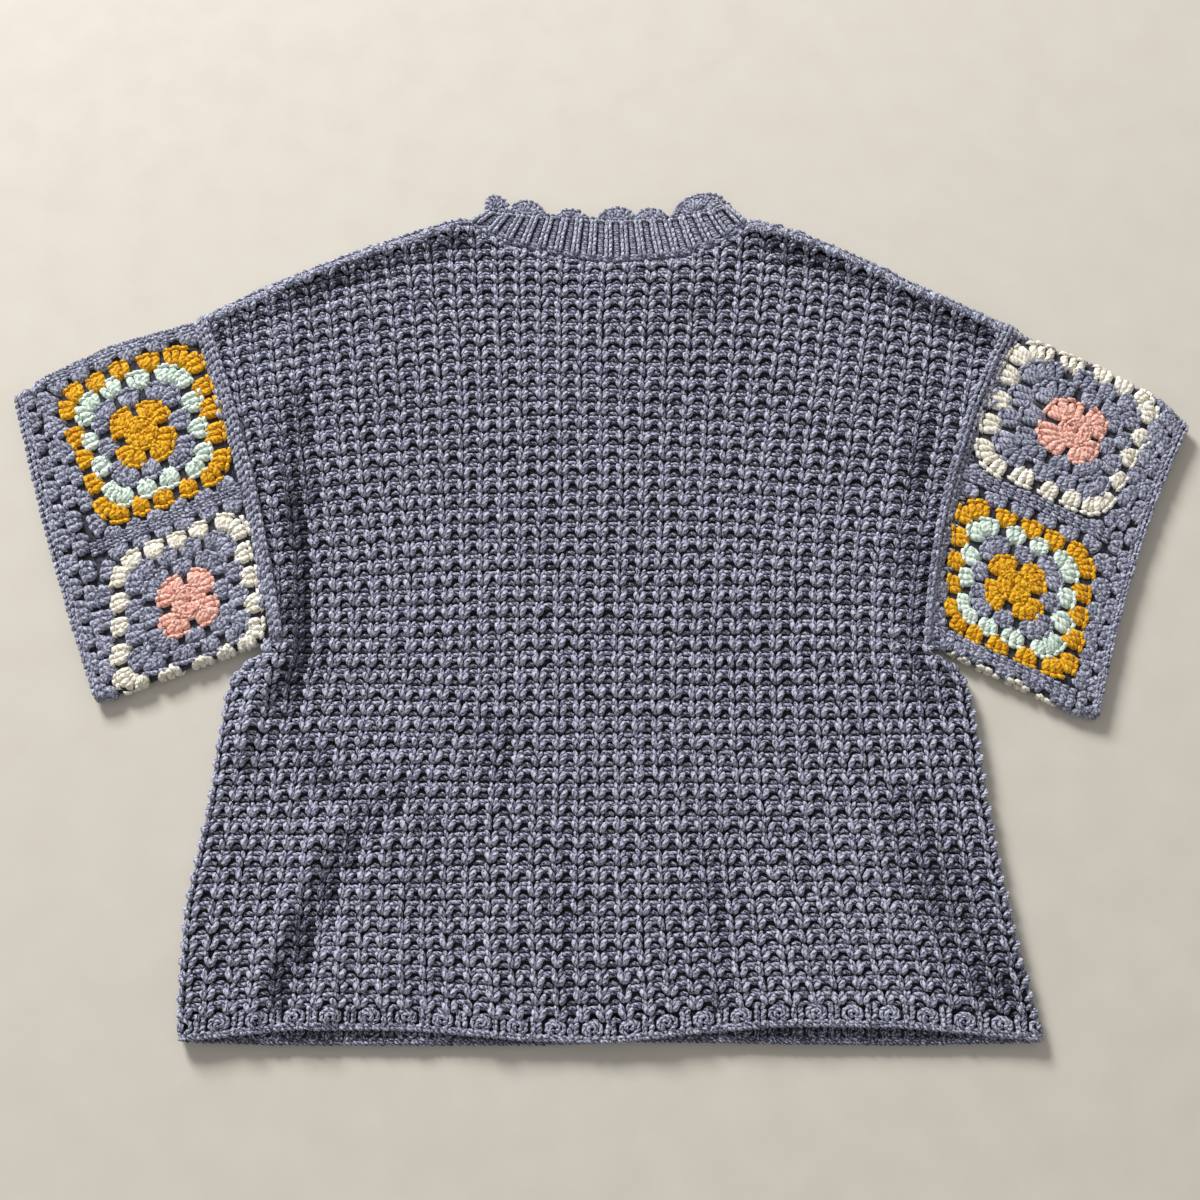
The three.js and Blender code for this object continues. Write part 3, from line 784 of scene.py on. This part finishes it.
class Collar(FlatTube):
    """The collar. p is 0 on the lower edge where it is tallest, and q is 0 on the left fold."""

    CORE = 3.2 * MM  # how far inside the fold's outline the cloth lies
    SHORTEST = 5 * MM

    def __init__(self):
        boxes = [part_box(name) for name in ("collar_rib", "neck_scallops")]
        self.ends, self.top_ends = ((low.x + MM, high.x - MM) for low, high in boxes)
        self.shares = np.linspace(0, 1, 40)
        self.base, self.top = (
            np.array([cut(["collar_rib"], (x, 0), (0, 1))[way] for x in lerp(*ends, self.shares)])
            for way, ends in enumerate((self.ends, self.top_ends))
        )
        self.tall = float((self.top - self.base).max())
        middle = boxes[0][1].z / 2
        super().__init__(self.place, self.reach, middle, middle - self.CORE, 0.0)

    def heights(self, share):
        share = np.clip(share, 0, 1)
        return np.interp(share, self.shares, self.base), np.interp(share, self.shares, self.top)

    def reach(self, p):
        up = np.clip(p / self.tall, 0, 1)
        return lerp(self.ends[1] - self.ends[0], self.top_ends[1] - self.top_ends[0], up)

    def place(self, p, share):
        """Rows are level at the top of the rib, and the lower edge cuts into them at both ends."""
        base, top = self.heights(share)
        up = np.clip(1 - (self.tall - p) / np.maximum(top - base, self.SHORTEST), 0, 1)
        x = lerp(lerp(*self.ends, share), lerp(*self.top_ends, share), up)
        return x, lerp(base, top, up) + np.maximum(p - self.tall, 0)

    def lowest(self, q):
        """The place along the collar at which its lower edge lies, that far round."""
        turn = np.mod(q / self.half, 2)
        base, top = self.heights(np.where(turn > 1, 2 - turn, turn))
        return self.tall - (top - base)

    def upright(self, around, up, height):
        """The same surface with the place round it first, as stitches are drawn."""
        return self(up, around, height)


COLLAR = Collar()


# ---- stitches: one pattern repeat each

def mirrored(route):
    return [(-x, y, h) for x, y, h in route]


def shifted(route, x=0.0, y=0.0):
    return [(a + x, b + y, h) for a, b, h in route]


# Fisherman's rib in millimetres: across from the middle of a knit column, up, and height.
CUP = [(0.4, -1.6, 0.8), (1.4, 0.2, 2.9), (2.5, 2.6, 3.8), (3.6, 4.9, 3.5), (4.2, 7.2, 1.4)]
LINK = [(0.1, 2.4, 0.8), (0.9, 4.9, 2.6), (1.9, 7.4, 3.0), (2.8, 9.3, 2.2), (2.9, 10.9, 0.6)]
RIDGE = [(2.4, 7.3, 0.6), (4.6, 7.7, 2.1), (7.15, 7.8, 2.5), (9.7, 7.7, 2.1), (11.9, 7.3, 0.6)]
BROW = [(2.9, 4.6, 0.4), (4.7, 5.2, 1.4), (7.15, 5.4, 1.8), (9.6, 5.2, 1.4), (11.4, 4.6, 0.4)]
ARC = [(3.5, -2.6, 0.2), (4.9, -0.6, 1.4), (7.15, 0.3, 1.8), (9.4, -0.6, 1.4), (10.8, -2.6, 0.2)]
WAFFLE = (
    # The route, radii and tint of each strand in a repeat, and whether both layers have it. The tints
    # are painted light and shade: the raised cups lighter, the low brow and arc darker.
    (CUP, (1.95, 2.15, 1.95), 0.78, True),
    (mirrored(CUP), (1.95, 2.15, 1.95), 0.78, True),
    (LINK, (1.4, 1.55, 1.35), 0.58, False),
    (mirrored(LINK), (1.4, 1.55, 1.35), 0.58, False),
    (RIDGE, (1.45, 1.6, 1.45), 0.6, True),
    (BROW, (1.45, 1.55, 1.45), 0.36, False),
    (ARC, (1.4, 1.5, 1.4), 0.34, True),
)


def repeat(route, places, wobble=0.3):
    """A route in millimetres, set down at each of these places in metres, shifted and bent a little."""
    route = np.array(route) * MM
    shift = chance.normal(0, wobble * MM, (len(places), 1, 3)) * (1, 1, 0.5)
    bend = chance.normal(0, 0.4 * wobble * MM, (len(places), len(route), 3))
    moved = route[None] + shift + bend
    moved[..., :2] += np.asarray(places)[:, None, :2]
    return moved


def in_cells(cells, route, flatten):
    """A route in millimetres, repeated in cells given by column and row."""
    moved = repeat(route, np.zeros((len(cells), 2)), wobble=0.42)
    moved[..., :2] = cells[:, None] + 0.5 + moved[..., :2] / CELL
    return moved * (1, 1, flatten)


def rotated(x, y, angles):
    cos, sin = np.cos(angles), np.sin(angles)
    return cos * x - sin * y, sin * x + cos * y


# One strand of a chain stitch, as shares of its width, its pitch and its height.
CHAIN_LEG = ((0.06, -0.25, 0.3), (0.20, 0.15, 1), (0.36, 0.75, 1), (0.18, 1.25, 0.2))
CHAIN_WOBBLE = 0.2 * MM


def chain(yarn, surface, line, pitch, width, height, radius, kind=0, tint=0.55):
    """Chain stitches like a braid, along a line of places on the surface. Their size is in millimetres."""
    line = joined(*line)
    steps = np.linalg.norm(np.diff(surface(line[:, 0], line[:, 1], np.zeros(len(line))), axis=0), axis=-1)
    length = np.concatenate([[0], np.cumsum(steps)])
    count = max(2, round(length[-1] / (pitch * MM)))
    pitch = length[-1] / count / MM

    def at(distance):
        return joined(*(np.interp(distance, length, line[:, axis]) for axis in (0, 1)))

    for side in (-1, 1):
        route = np.array([(side * x * width, y * pitch, h * height) for x, y, h in CHAIN_LEG]) * MM
        route = route[None] + chance.normal(0, CHAIN_WOBBLE, (count, 1, 3))
        starts = np.arange(count) * pitch * MM
        along = np.clip(starts[:, None] + route[..., 1], 0, length[-1])
        way = unit(at(along + 0.5 * MM) - at(along - 0.5 * MM))
        places = at(along) + route[..., :1] * joined(way[..., 1], -way[..., 0])
        yarn.add(surface, np.concatenate([places, route[..., 2:]], -1), radius, kind, 5, tint=tint)


# Granny squares in millimetres. A cluster is three tall stitches in one hole, drawn outwards. Each has
# a core, two slanting wraps on it, and a loop over its head.
CORE = [(0.34, -8.6, 0.0), (0.55, -5.4, 1.0), (0.88, -1.2, 1.5), (1.0, 2.6, 1.5), (1.0, 5.6, 0.6)]
CORE_RADII = [2.4, 3.1, 3.0]
KNOT = [(-1.8, -3.2, 0.7), (-0.8, -1.1, 2.3), (0.8, 1.2, 2.4), (1.8, 3.3, 0.8)]
KNOT_RISE = (-3.6, 1.2)
HEAD = [(-3.6, 4.0, 0.8), (-1.4, 5.5, 2.1), (1.4, 5.6, 2.1), (3.6, 4.2, 0.8)]
POST_SPREAD = 4.7  # between the three stitches
POST_BACK = 0.9  # how much further in the outer two lie
KNOT_LEAN = ([-8.6, 3.2], [0.4, 1.0])  # places up a stitch, and how far out it leans there
CLUSTER_PITCH = 20.3
FIRST_ROUND = 7.0  # how far out the rounds lie
SECOND_ROUND = 18.5
LAST_ROUND = 64.0
CORNER_IN = 1.5  # how far the corner clusters are drawn in
CORNER_LEAN = math.radians(-14)
FIRST_RING = 11.0  # the ring of chain stitches round the middle
ROUNDS = 6
HALF_SQUARE = 68.0  # from the middle of a square to the seam
ROUND_COLOURS = {
    "mustard": (MUSTARD_KIND, MUSTARD_KIND, SLATE_KIND, MINT_KIND, MUSTARD_KIND, SLATE_KIND),
    "pink": (PINK_KIND, PINK_KIND, SLATE_KIND, SLATE_KIND, IVORY_KIND, SLATE_KIND),
}


def cluster_strands():
    """(route, radii, sides, tint) of each strand in a cluster."""
    strands = []
    for which in (-1, 0, 1):
        fan = which * POST_SPREAD
        back = abs(which) * POST_BACK
        strands.append(([(fan * x, y - back, h) for x, y, h in CORE], CORE_RADII, 6, 0.5))
        for rise in KNOT_RISE:
            lean = np.interp(rise, *KNOT_LEAN)
            strands.append((shifted(KNOT, fan * lean, rise - back), 1.65, 5, 0.55))
        strands.append((shifted(HEAD, fan, -back), 1.9, 5, 0.62))
    return strands


TURN_VARIES, PLACE_VARIES, SIZE_VARIES = 0.09, 0.6 * MM, 0.05
WIDE, TALL, SHORT = 1.14, 1.1, 0.85  # how a cluster is stretched, and how tall it is in tight rounds


def cluster(yarn, surface, places, angles, kind, wide=WIDE, tall=TALL):
    """Clusters at these places in metres, opening out in these directions."""
    count = len(places)
    angles = angles + chance.normal(0, TURN_VARIES, count)
    places = places + chance.normal(0, PLACE_VARIES, (count, 2))
    size = 1 + chance.normal(0, SIZE_VARIES, (count, 1, 1)) * (1, 1, 0)
    for route, radii, sides, tint in cluster_strands():
        routes = repeat(route, np.zeros((count, 2))) * size * (wide, tall, 1)
        x, y = rotated(routes[..., 0], routes[..., 1], angles[:, None])
        routes = joined(places[:, :1] + x, places[:, 1:] + y, routes[..., 2])
        yarn.add(surface, routes, radii, kind, sides, 0.8, tint)


def granny_round(number):
    """Where a round's clusters lie from the middle of a square, and their directions."""
    out = lerp(SECOND_ROUND, LAST_ROUND, (number - 1) / (ROUNDS - 2)) if number else FIRST_ROUND
    offsets = CLUSTER_PITCH * (np.arange(number + 1) - number / 2)
    at_corner = (np.abs(offsets) == offsets.max()) & (number > 0)
    turns = np.arange(4)[:, None] * math.pi / 2
    x, y = rotated(offsets, out - CORNER_IN * at_corner, turns)
    lean = CORNER_LEAN * np.sign(offsets) * at_corner
    return joined(x, y).reshape(-1, 2), (turns + lean).ravel()


# ---- the pieces of the body

LAYERS = {
    # How many sides a strand has, whether only the strands that show are there, how tall the stitches
    # are, and in how many pieces they come. The front lies underneath, pressed flat on the floor.
    "back": (5, False, 1.0, 3),
    "front": (4, True, 0.72, 1),
}
REPEAT_TOP = 0.85  # how far up a repeat has to be on the layer
SHADED_AT = 0.4  # how far up a repeat its shade is taken
THIN_WIDER = 1.25  # how much wider strands are where there are fewer


def waffle_cells(body):
    """The column and row of each repeat on the layer, row by row."""
    rows = np.arange(ROWS + EXTRA_ROWS) + FIRST_ROW
    columns, rows = np.meshgrid(np.arange(COLUMNS), rows, indexing="ij")
    cells = joined(columns.ravel(), rows.ravel())
    cells = cells[body.covers(cells[:, 0] + 0.5, cells[:, 1] + REPEAT_TOP)]
    return cells[np.argsort(cells[:, 1], kind="stable")]


def waffle(body, cells, sides, thin, flatten):
    yarn = Yarn()
    # painted shade in the creases and painted light on the folds, added to each strand's tint
    shade = body.shade(cells[:, 0] + 0.5, cells[:, 1] + SHADED_AT)
    for route, radii, tint, always in WAFFLE:
        if thin and not always:
            continue
        if thin:
            route = [route[0], route[1], route[3], route[4]]
            radii = [radii[0] * THIN_WIDER, radii[2] * THIN_WIDER]
        routes = in_cells(cells, route, flatten)
        yarn.add(body, routes, radii, sides=sides, tall=0.85, tint=tint + shade)
    return yarn


# The hem in millimetres: a row of rosettes with rib between them.
ROSETTE_PITCH = 24.0
ROSETTE_RINGS = ((6.1, 6.6, 2.4), (2.7, 3.1, 2.8))  # how wide and tall to either side, and height
ROSETTE_MIDDLE = 10.4
RIB_LEG = [(0.5, -0.8, 0.5), (1.5, 1.2, 2.4), (2.5, 4.2, 2.5), (2.9, 7.2, 0.9)]
RIB_ROWS = (0.4, 5.2, 10.0, 14.6)
HEM_TALL = 19.4
HEM_TINT = 0.58
ROSETTE_LIGHTER = 0.02
INSIDE = -0.35  # the front's hem shows its inner side, past the edge of the back's
# painted shadow: the inner side is tinted dark, as the back's hem shades it
INSIDE_SHADOW_TINT = 0.12


def rosette_ring(wide, tall, height):
    turns = np.linspace(-0.2, 2 * math.pi + 0.2, 10) - math.pi / 2
    heights = [0.4] + [height] * 8 + [0.4]
    return [(math.cos(t) * wide, ROSETTE_MIDDLE + math.sin(t) * tall, h) for t, h in zip(turns, heights)]


def hem_stitches(layer, flatten, tint=HEM_TINT, suffix=""):
    body = BODY[layer]
    yarn = Yarn()
    left, right = body.hem_xs[0] + 3 * MM, body.hem_xs[-1] - 3 * MM
    middles = np.linspace(left, right, round((right - left) / (ROSETTE_PITCH * MM)))
    between = (middles[:-1] + middles[1:]) / 2

    def surface(x, y, height):
        return body.hem(x, y / (HEM_TALL * MM), height)

    for wide, tall, height in ROSETTE_RINGS:
        routes = repeat(rosette_ring(wide, tall, height), joined(middles, 0)) * (1, 1, flatten)
        yarn.add(surface, routes, 1.6, tint=tint + ROSETTE_LIGHTER)
    for row in RIB_ROWS:
        for leg in (RIB_LEG, mirrored(RIB_LEG)):
            routes = repeat(leg, joined(between, row * MM)) * (1, 1, flatten)
            yarn.add(surface, routes, 1.85, sides=5, tint=tint, tall=0.8)
    edge = np.linspace(left - 2 * MM, right + 2 * MM, 80), 1.2 * MM
    chain(yarn, surface, edge, pitch=5.6, width=5.0, height=1.9 * flatten, radius=1.6, tint=tint)
    return yarn.build(f"{layer}_hem_stitches{suffix}", [SLATE], "slate_rib")


SHOULDER_BRAIDS = ((1.5, 4.4), (5.0, 5.6), (7.0, 5.6))  # how far below the edge, and how wide
NECK_BELOW = 3.5 * MM
SIDE_INWARD = 2.6 * MM
TIP_GAP, NECK_OVERLAP = 5 * MM, 4 * MM  # between a braid and the shoulder's tip, and past the neck's end


def body_edges():
    """Braided rows along both shoulders, the neck and both sides, on the upper layer."""
    body = BODY["back"]
    yarn = Yarn()
    neck = COLLAR.ends
    for start, end in (
        (body.tips[0, 0] + TIP_GAP, neck[0] + NECK_OVERLAP),
        (neck[1] - NECK_OVERLAP, body.tips[1, 0] - TIP_GAP),
    ):
        x = np.linspace(start, end, 60)
        for below, width in SHOULDER_BRAIDS:
            line = x, body.top_at(x) - below * MM
            chain(yarn, body.lay, line, pitch=6.0, width=width, height=1.6, radius=1.7, tint=0.6)
    x = np.linspace(*neck, 60)
    line = x, body.top_at(x) - NECK_BELOW
    chain(yarn, body.lay, line, pitch=6.0, width=6.0, height=1.0, radius=1.8, tint=0.5)
    levels = np.linspace(body.levels[0] + 4 * MM, body.underarm - 6 * MM, 60)
    for x, inward in zip(body.across(levels, body.sides), (SIDE_INWARD, -SIDE_INWARD)):
        line = x + inward, levels
        chain(yarn, body.lay, line, pitch=7.0, width=5.0, height=1.6, radius=2.0, tint=0.5)
    return yarn.build("edge_braids", [SLATE], "slate_knit")


def knit_body():
    covers = {}
    first = np.array([0, 0.006])
    u = np.concatenate([first, np.linspace(0.012, 0.988, 60), 1 - first[::-1]])
    v = np.concatenate([np.linspace(0, 0.96, 50), [0.98, 1]])
    for layer, (sides, thin, flatten, parts) in LAYERS.items():
        body = BODY[layer]
        panel = cloth(f"{layer}_panel_cloth", f"{layer}_panel", body.panel, u, v, SHADED_GROUND)
        x, up = np.linspace(body.hem_xs[0], body.hem_xs[-1], 70), np.linspace(0.04, 1, 4)
        hem = cloth(f"{layer}_hem_cloth", f"{layer}_hem_rib", body.hem, x, up, SHADED_GROUND)
        stitches = []
        for i, cells in enumerate(np.array_split(waffle_cells(body), parts)):
            yarn = waffle(body, cells, sides, thin, flatten)
            stitches.append(yarn.build(f"{layer}_stitches_{i + 1}", [SLATE], "slate_knit"))
        hem_work = [hem_stitches(layer, flatten)]
        if layer == "front":
            hem_work.append(hem_stitches(layer, INSIDE, INSIDE_SHADOW_TINT, "_inside"))
        covers[layer] = (panel, stitches, hem, hem_work)
    return covers


# ---- the pieces of the collar

RIBS = 34  # knit columns all round the collar
COLLAR_LEG = [(1.0, -1.8, 1.6), (1.5, 0.8, 3.1), (1.9, 3.4, 3.2), (1.9, 6.0, 1.8)]
PURL = [(-3.2, -0.5, 0.0), (-1.2, 0.5, 1.0), (1.2, 0.5, 1.0), (3.2, -0.5, 0.0)]
COLLAR_ROW = 4.0
COLUMN_STITCHES = (
    # How far across its column, the routes, radius and tint. The purls' lower tint is painted shade, down
    # between the ribs.
    (0.5, (COLLAR_LEG, mirrored(COLLAR_LEG)), 1.5, 0.8),
    (1.0, (PURL, shifted(PURL, y=COLLAR_ROW / 2)), 1.4, 0.58),
)

# Each shell on the upper half of the neck: its middle, as a share of the way across, then its width
# and height in millimetres. The lower half has the same ones.
SHELLS = [
    (0.045, 24, 13.0), (0.170, 30, 11.5), (0.350, 25, 6.5), (0.535, 31, 10.5), (0.670, 27, 8.5),
    (0.870, 46, 15.5),
]
LOWEST_SHELL = 3.0
SHELL_FAN, SHELL_RIM_FAN = 1.2, 1.5  # half the angle that a shell's strands and its rim open to
SHELL_SPACING = 4  # between its strands
SHELL_STRAND = ((0.1, 0.6), (0.4, 1.7), (0.75, 2.0), (1.02, 0.8))  # how far out, as a share, and height


def collar_stitches():
    """Columns of knit that run up from the collar's lower edge, with purl between them."""
    yarn = Yarn()
    for column in range(RIBS):
        for part, routes, radius, tint in COLUMN_STITCHES:
            q = (column + part) * 2 * COLLAR.half / RIBS
            low = float(COLLAR.lowest(q)) + MM
            rows = max(1, round((COLLAR.tall - low) / MM / COLLAR_ROW))
            places = joined(q, low + (COLLAR.tall - low - MM) * np.arange(rows) / rows)
            for route in routes:
                moved = repeat(route, places, wobble=0.15)
                yarn.add(COLLAR.upright, moved, radius, sides=5, tint=tint, tall=0.85)
    q = np.linspace(0, 2 * COLLAR.half, 200)
    top, seam = (q, COLLAR.tall), (q, COLLAR.lowest(q) + MM)
    chain(yarn, COLLAR.upright, top, pitch=4.4, width=4.2, height=2.2, radius=1.3)
    chain(yarn, COLLAR.upright, seam, pitch=6.5, width=5.6, height=0.9, radius=1.7, tint=0.5)
    return yarn.build("collar_stitches", [SMOOTH_SLATE], "slate_rib")


def shell_tops(turn):
    """How far the shells stand above the rib, that far round the neck in halves."""
    share = np.mod(turn, 2)
    share = np.where(share > 1, 2 - share, share)
    tall = np.full_like(share, LOWEST_SHELL)
    for middle, width, height in SHELLS:
        reach = (share - middle) * COLLAR.half / MM / (width / 2)
        tall = np.maximum(tall, height * np.sqrt(np.clip(1 - reach ** 2, 0, 1)))
    return tall * MM


def shell_stitches():
    yarn = Yarn()
    shells = SHELLS + [(2 - middle, width, height) for middle, width, height in SHELLS]
    for middle, width, height in shells:
        middle = middle * COLLAR.half
        for angle in np.linspace(-SHELL_FAN, SHELL_FAN, max(6, round(width / SHELL_SPACING))):
            side, up = math.sin(angle) * width / 2, math.cos(angle) * height
            route = [(side * out, up * out, h) for out, h in SHELL_STRAND]
            moved = repeat(route, [(middle, COLLAR.tall)], wobble=0.2)
            yarn.add(COLLAR.upright, moved, 1.8, sides=5)
        turn = np.linspace(-SHELL_RIM_FAN, SHELL_RIM_FAN, 24)
        x = middle + np.sin(turn) * (width / 2 - 1) * MM
        y = COLLAR.tall + np.cos(turn) * (height - 1) * MM
        chain(yarn, COLLAR.upright, (x, y), pitch=4.4, width=4.6, height=2.2, radius=1.6)
    return yarn.build("neck_shell_stitches", [SMOOTH_SLATE], "slate_crochet")


def knit_collar():
    q = np.linspace(0, 2 * COLLAR.half, 141)[:-1]

    def rib(up, around, height):
        return COLLAR(lerp(COLLAR.lowest(around), COLLAR.tall, up), around, height)

    def rim(up, around, height):
        tops = shell_tops(around / COLLAR.half) - 1.5 * MM
        return COLLAR(COLLAR.tall + up * tops, around, height)

    low, high = np.linspace(0, 1, 5), np.array([0.02, 0.5, 1])
    rib_cloth = cloth("collar_cloth", "collar_rib", rib, low, q, SHADED_CROCHET_GROUND, True)
    rim_cloth = cloth("neck_shell_cloth", "neck_scallops", rim, high, q, SHADED_GROUND, True)
    return rib_cloth, collar_stitches(), rim_cloth, shell_stitches()


# ---- the pieces of the sleeves

# From the upper fold round: the squares on top, upper and lower, then those underneath.
CENTRES = {"left": ("mustard", "pink") * 2, "right": ("pink", "mustard") * 2}

# How far out from the armhole the corners of the last coloured round lie, at its inner and its outer
# side, where the squares meet: on the upper fold, on top, on the lower fold and underneath.
ROUND_REACH = {
    "left": ((16.5, 105), (18, 97.5), (20, 110), (16, 105)),
    "right": ((14, 108), (16, 99.5), (25, 104), (16, 105)),
}
CORNER = 45.8  # from the middle of a square to those corners, in millimetres like the rest
OFF_MIDDLE = {"left": (0, 4, 0, 0), "right": (2, 7, 3, 0)}  # how far round from its middle each square lies
SEAM_SHIFT = {"left": (0, 0, 0, 0), "right": (0, 0, 4.5, 0)}
SEAM_HALF = 2.6  # from a seam to each of its two braids
KEEP_OUT, KEEP_ROUND = 6 * MM, 3 * MM  # the last round stays this far from the armhole and the seams
ARMHOLE_BRAIDS = ((-3.2, 3.8), (0.0, 2.8), (3.0, 1.2))  # how far out, and height
CUFF_CLUSTERS = ((18, 0.5), (9, 0.0))  # how far in from the cuff's end, and the shift round in clusters
CUFF_BRAIDS = (4.6, 1.8)  # how far in from the cuff's end


def square_place(sleeve, index, out, around):
    """A place in a square in metres, out along the sleeve and round it, as a place on the sleeve."""
    start, end = sleeve.joins[index:index + 2]
    middle = (start + end) / 2 + OFF_MIDDLE[sleeve.side][index] * MM
    q = middle - around * (end - start) / 2 / (HALF_SQUARE * MM)
    first, last = (ROUND_REACH[sleeve.side][i % 4] for i in (index, index + 1))
    down = (1 - around / (CORNER * MM)) / 2
    inner, outer = (lerp(a, b, down) * MM for a, b in zip(first, last))
    return lerp(inner, outer, (1 + out / (CORNER * MM)) / 2), q


def granny_square(sleeve, index):
    yarn = Yarn()
    centre = CENTRES[sleeve.side][index]
    colours = ROUND_COLOURS[centre]

    def surface(out, around, height):
        return sleeve(*square_place(sleeve, index, out, around), height)

    for number, colour in enumerate(colours):
        places, angles = granny_round(number)
        places = places * MM
        if number == ROUNDS - 1:
            p, q = square_place(sleeve, index, *places.T)
            start, end = sleeve.joins[index:index + 2]
            keep = (p > KEEP_OUT) & (q > start + KEEP_ROUND) & (q < end - KEEP_ROUND)
            places, angles = places[keep], angles[keep]
        tall = SHORT if number in (0, ROUNDS - 1) else TALL
        cluster(yarn, surface, places, angles, colour, tall=tall)
    ring = rotated(FIRST_RING * MM, 0, np.linspace(0, 2 * math.pi, 40))
    chain(yarn, surface, ring, pitch=4.2, width=4.6, height=2.6, radius=1.5, kind=colours[0])
    return yarn.build(f"{sleeve.side}_{sleeve.SQUARES[index]}_clusters", COLOURS, f"{centre}_square")


def sleeve_edges(sleeve):
    """Seams between the squares, the row on the armhole, and the crochet round the cuff."""
    seams, armhole, cuff = Yarn(), Yarn(), Yarn()
    out = np.linspace(4 * MM, sleeve.squares_end, 30)
    for join, off in zip(sleeve.joins, SEAM_SHIFT[sleeve.side]):
        for shift in (off - SEAM_HALF, off + SEAM_HALF):
            line = out, join + shift * MM
            chain(seams, sleeve, line, pitch=5.6, width=4.8, height=2.6, radius=1.5, tint=0.5)
    around = np.linspace(0, 2 * sleeve.half, 240)
    for p, height in ARMHOLE_BRAIDS:
        chain(armhole, sleeve, (p * MM, around), pitch=5.8, width=4.6, height=height, radius=1.7)
    count = round(2 * sleeve.half / (CLUSTER_PITCH * MM))
    for back, shift in CUFF_CLUSTERS:
        q = (np.arange(count) + 0.5 + shift) * 2 * sleeve.half / count
        outwards = np.full(count, -math.pi / 2)
        places = joined(sleeve.length - back * MM, q)
        cluster(cuff, sleeve, places, outwards, SLATE_KIND, wide=1.3, tall=0.62)
    for back in CUFF_BRAIDS:
        line = sleeve.length - back * MM, around
        chain(cuff, sleeve, line, pitch=5.0, width=4.2, height=2.4, radius=1.4, tint=0.6)
    return [
        seams.build(f"{sleeve.side}_seam_stitches", [SMOOTH_SLATE], "slate_crochet"),
        armhole.build(f"{sleeve.side}_armhole_stitches", [SMOOTH_SLATE], "slate_crochet"),
        cuff.build(f"{sleeve.side}_cuff_stitches", COLOURS, "slate_crochet"),
    ]


def crochet_sleeve(side):
    sleeve = SLEEVES[side]
    squares = []
    out = np.linspace(sleeve.squares_start, sleeve.squares_end, 14)
    for index, name in enumerate(sleeve.names):
        around = np.linspace(*sleeve.joins[index:index + 2], 60)
        piece = cloth(f"{name}_cloth", name, sleeve, out, around, SHADED_CROCHET_GROUND)
        squares.append((piece, granny_square(sleeve, index)))
    edges = sleeve_edges(sleeve)
    around = np.linspace(0, 2 * sleeve.half, 161)[:-1]
    rings = []
    for name, start, end in (
        (f"{side}_armhole_edging", 0.5 * MM, sleeve.squares_start),
        (f"{side}_cuff_edging", sleeve.squares_end, sleeve.length - MM),
    ):
        out = np.linspace(start, end, 3)
        rings.append(cloth(f"{name}_cloth", name, sleeve, out, around, SHADED_GROUND, True))
    return squares, rings, edges


# ---- camera, light and floor

LENS, SENSOR = 43.44, 36
TILT = math.radians(16)
CAMERA_HEIGHT = 1.002
CAMERA_BACK = 0.2978
WINDOW_PLACE = (-1.8, 3.1, 2.0)  # past the neck and to the left, so that shadows fall towards the hem
WINDOW_POWER = 213
WINDOW_SIZE = 1.2
WINDOW_COLOUR = (1.0, 0.985, 0.965)
AMBIENT = 0.37
AMBIENT_COLOUR = (1.0, 0.985, 0.96, 1)
FLOOR_REACH = 6.0


def placed(name, data):
    item = bpy.data.objects.new(name, data)
    bpy.context.scene.collection.objects.link(item)
    return item


def studio():
    scene = bpy.context.scene
    scene.view_settings.view_transform = "Standard"
    centre = np.mean(cad_box, axis=0)
    camera = bpy.data.cameras.new("camera")
    camera.lens = LENS
    camera.sensor_width = SENSOR
    eye = placed("camera", camera)
    eye.location = (centre[0], centre[1] - CAMERA_BACK, CAMERA_HEIGHT)
    eye.rotation_euler = (TILT, 0, 0)
    scene.camera = eye

    world = bpy.data.worlds.new("studio")
    world.use_nodes = True
    background = world.node_tree.nodes["Background"]
    background.inputs["Color"].default_value = AMBIENT_COLOUR
    background.inputs["Strength"].default_value = AMBIENT
    scene.world = world
    light = bpy.data.lights.new("window", "AREA")
    light.energy = WINDOW_POWER
    light.size = WINDOW_SIZE
    light.color = WINDOW_COLOUR
    lamp = placed("window", light)
    lamp.location = WINDOW_PLACE
    lamp.rotation_euler = (Vector(centre) - lamp.location).to_track_quat("-Z", "Y").to_euler()

    mesh = bpy.data.meshes.new("floor")
    corners = [(x * FLOOR_REACH, y * FLOOR_REACH, 0) for x, y in ((-1, -1), (1, -1), (1, 1), (-1, 1))]
    mesh.from_pydata(corners, [], [(0, 1, 2, 3)])
    nodes = Nodes("pale_floor")
    colour = nodes.ramp(nodes.noise(30, 4), (0.3, (214, 208, 197)), (0.7, (218, 213, 203)))
    mesh.materials.append(nodes.finish(colour, 0.95))
    floor = placed("floor", mesh)
    return floor


# ---- the studio, then every piece


floor = studio()
body_covers = knit_body()
body_edges()
knit_collar()
for side in SLEEVES:
    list(crochet_sleeve(side))
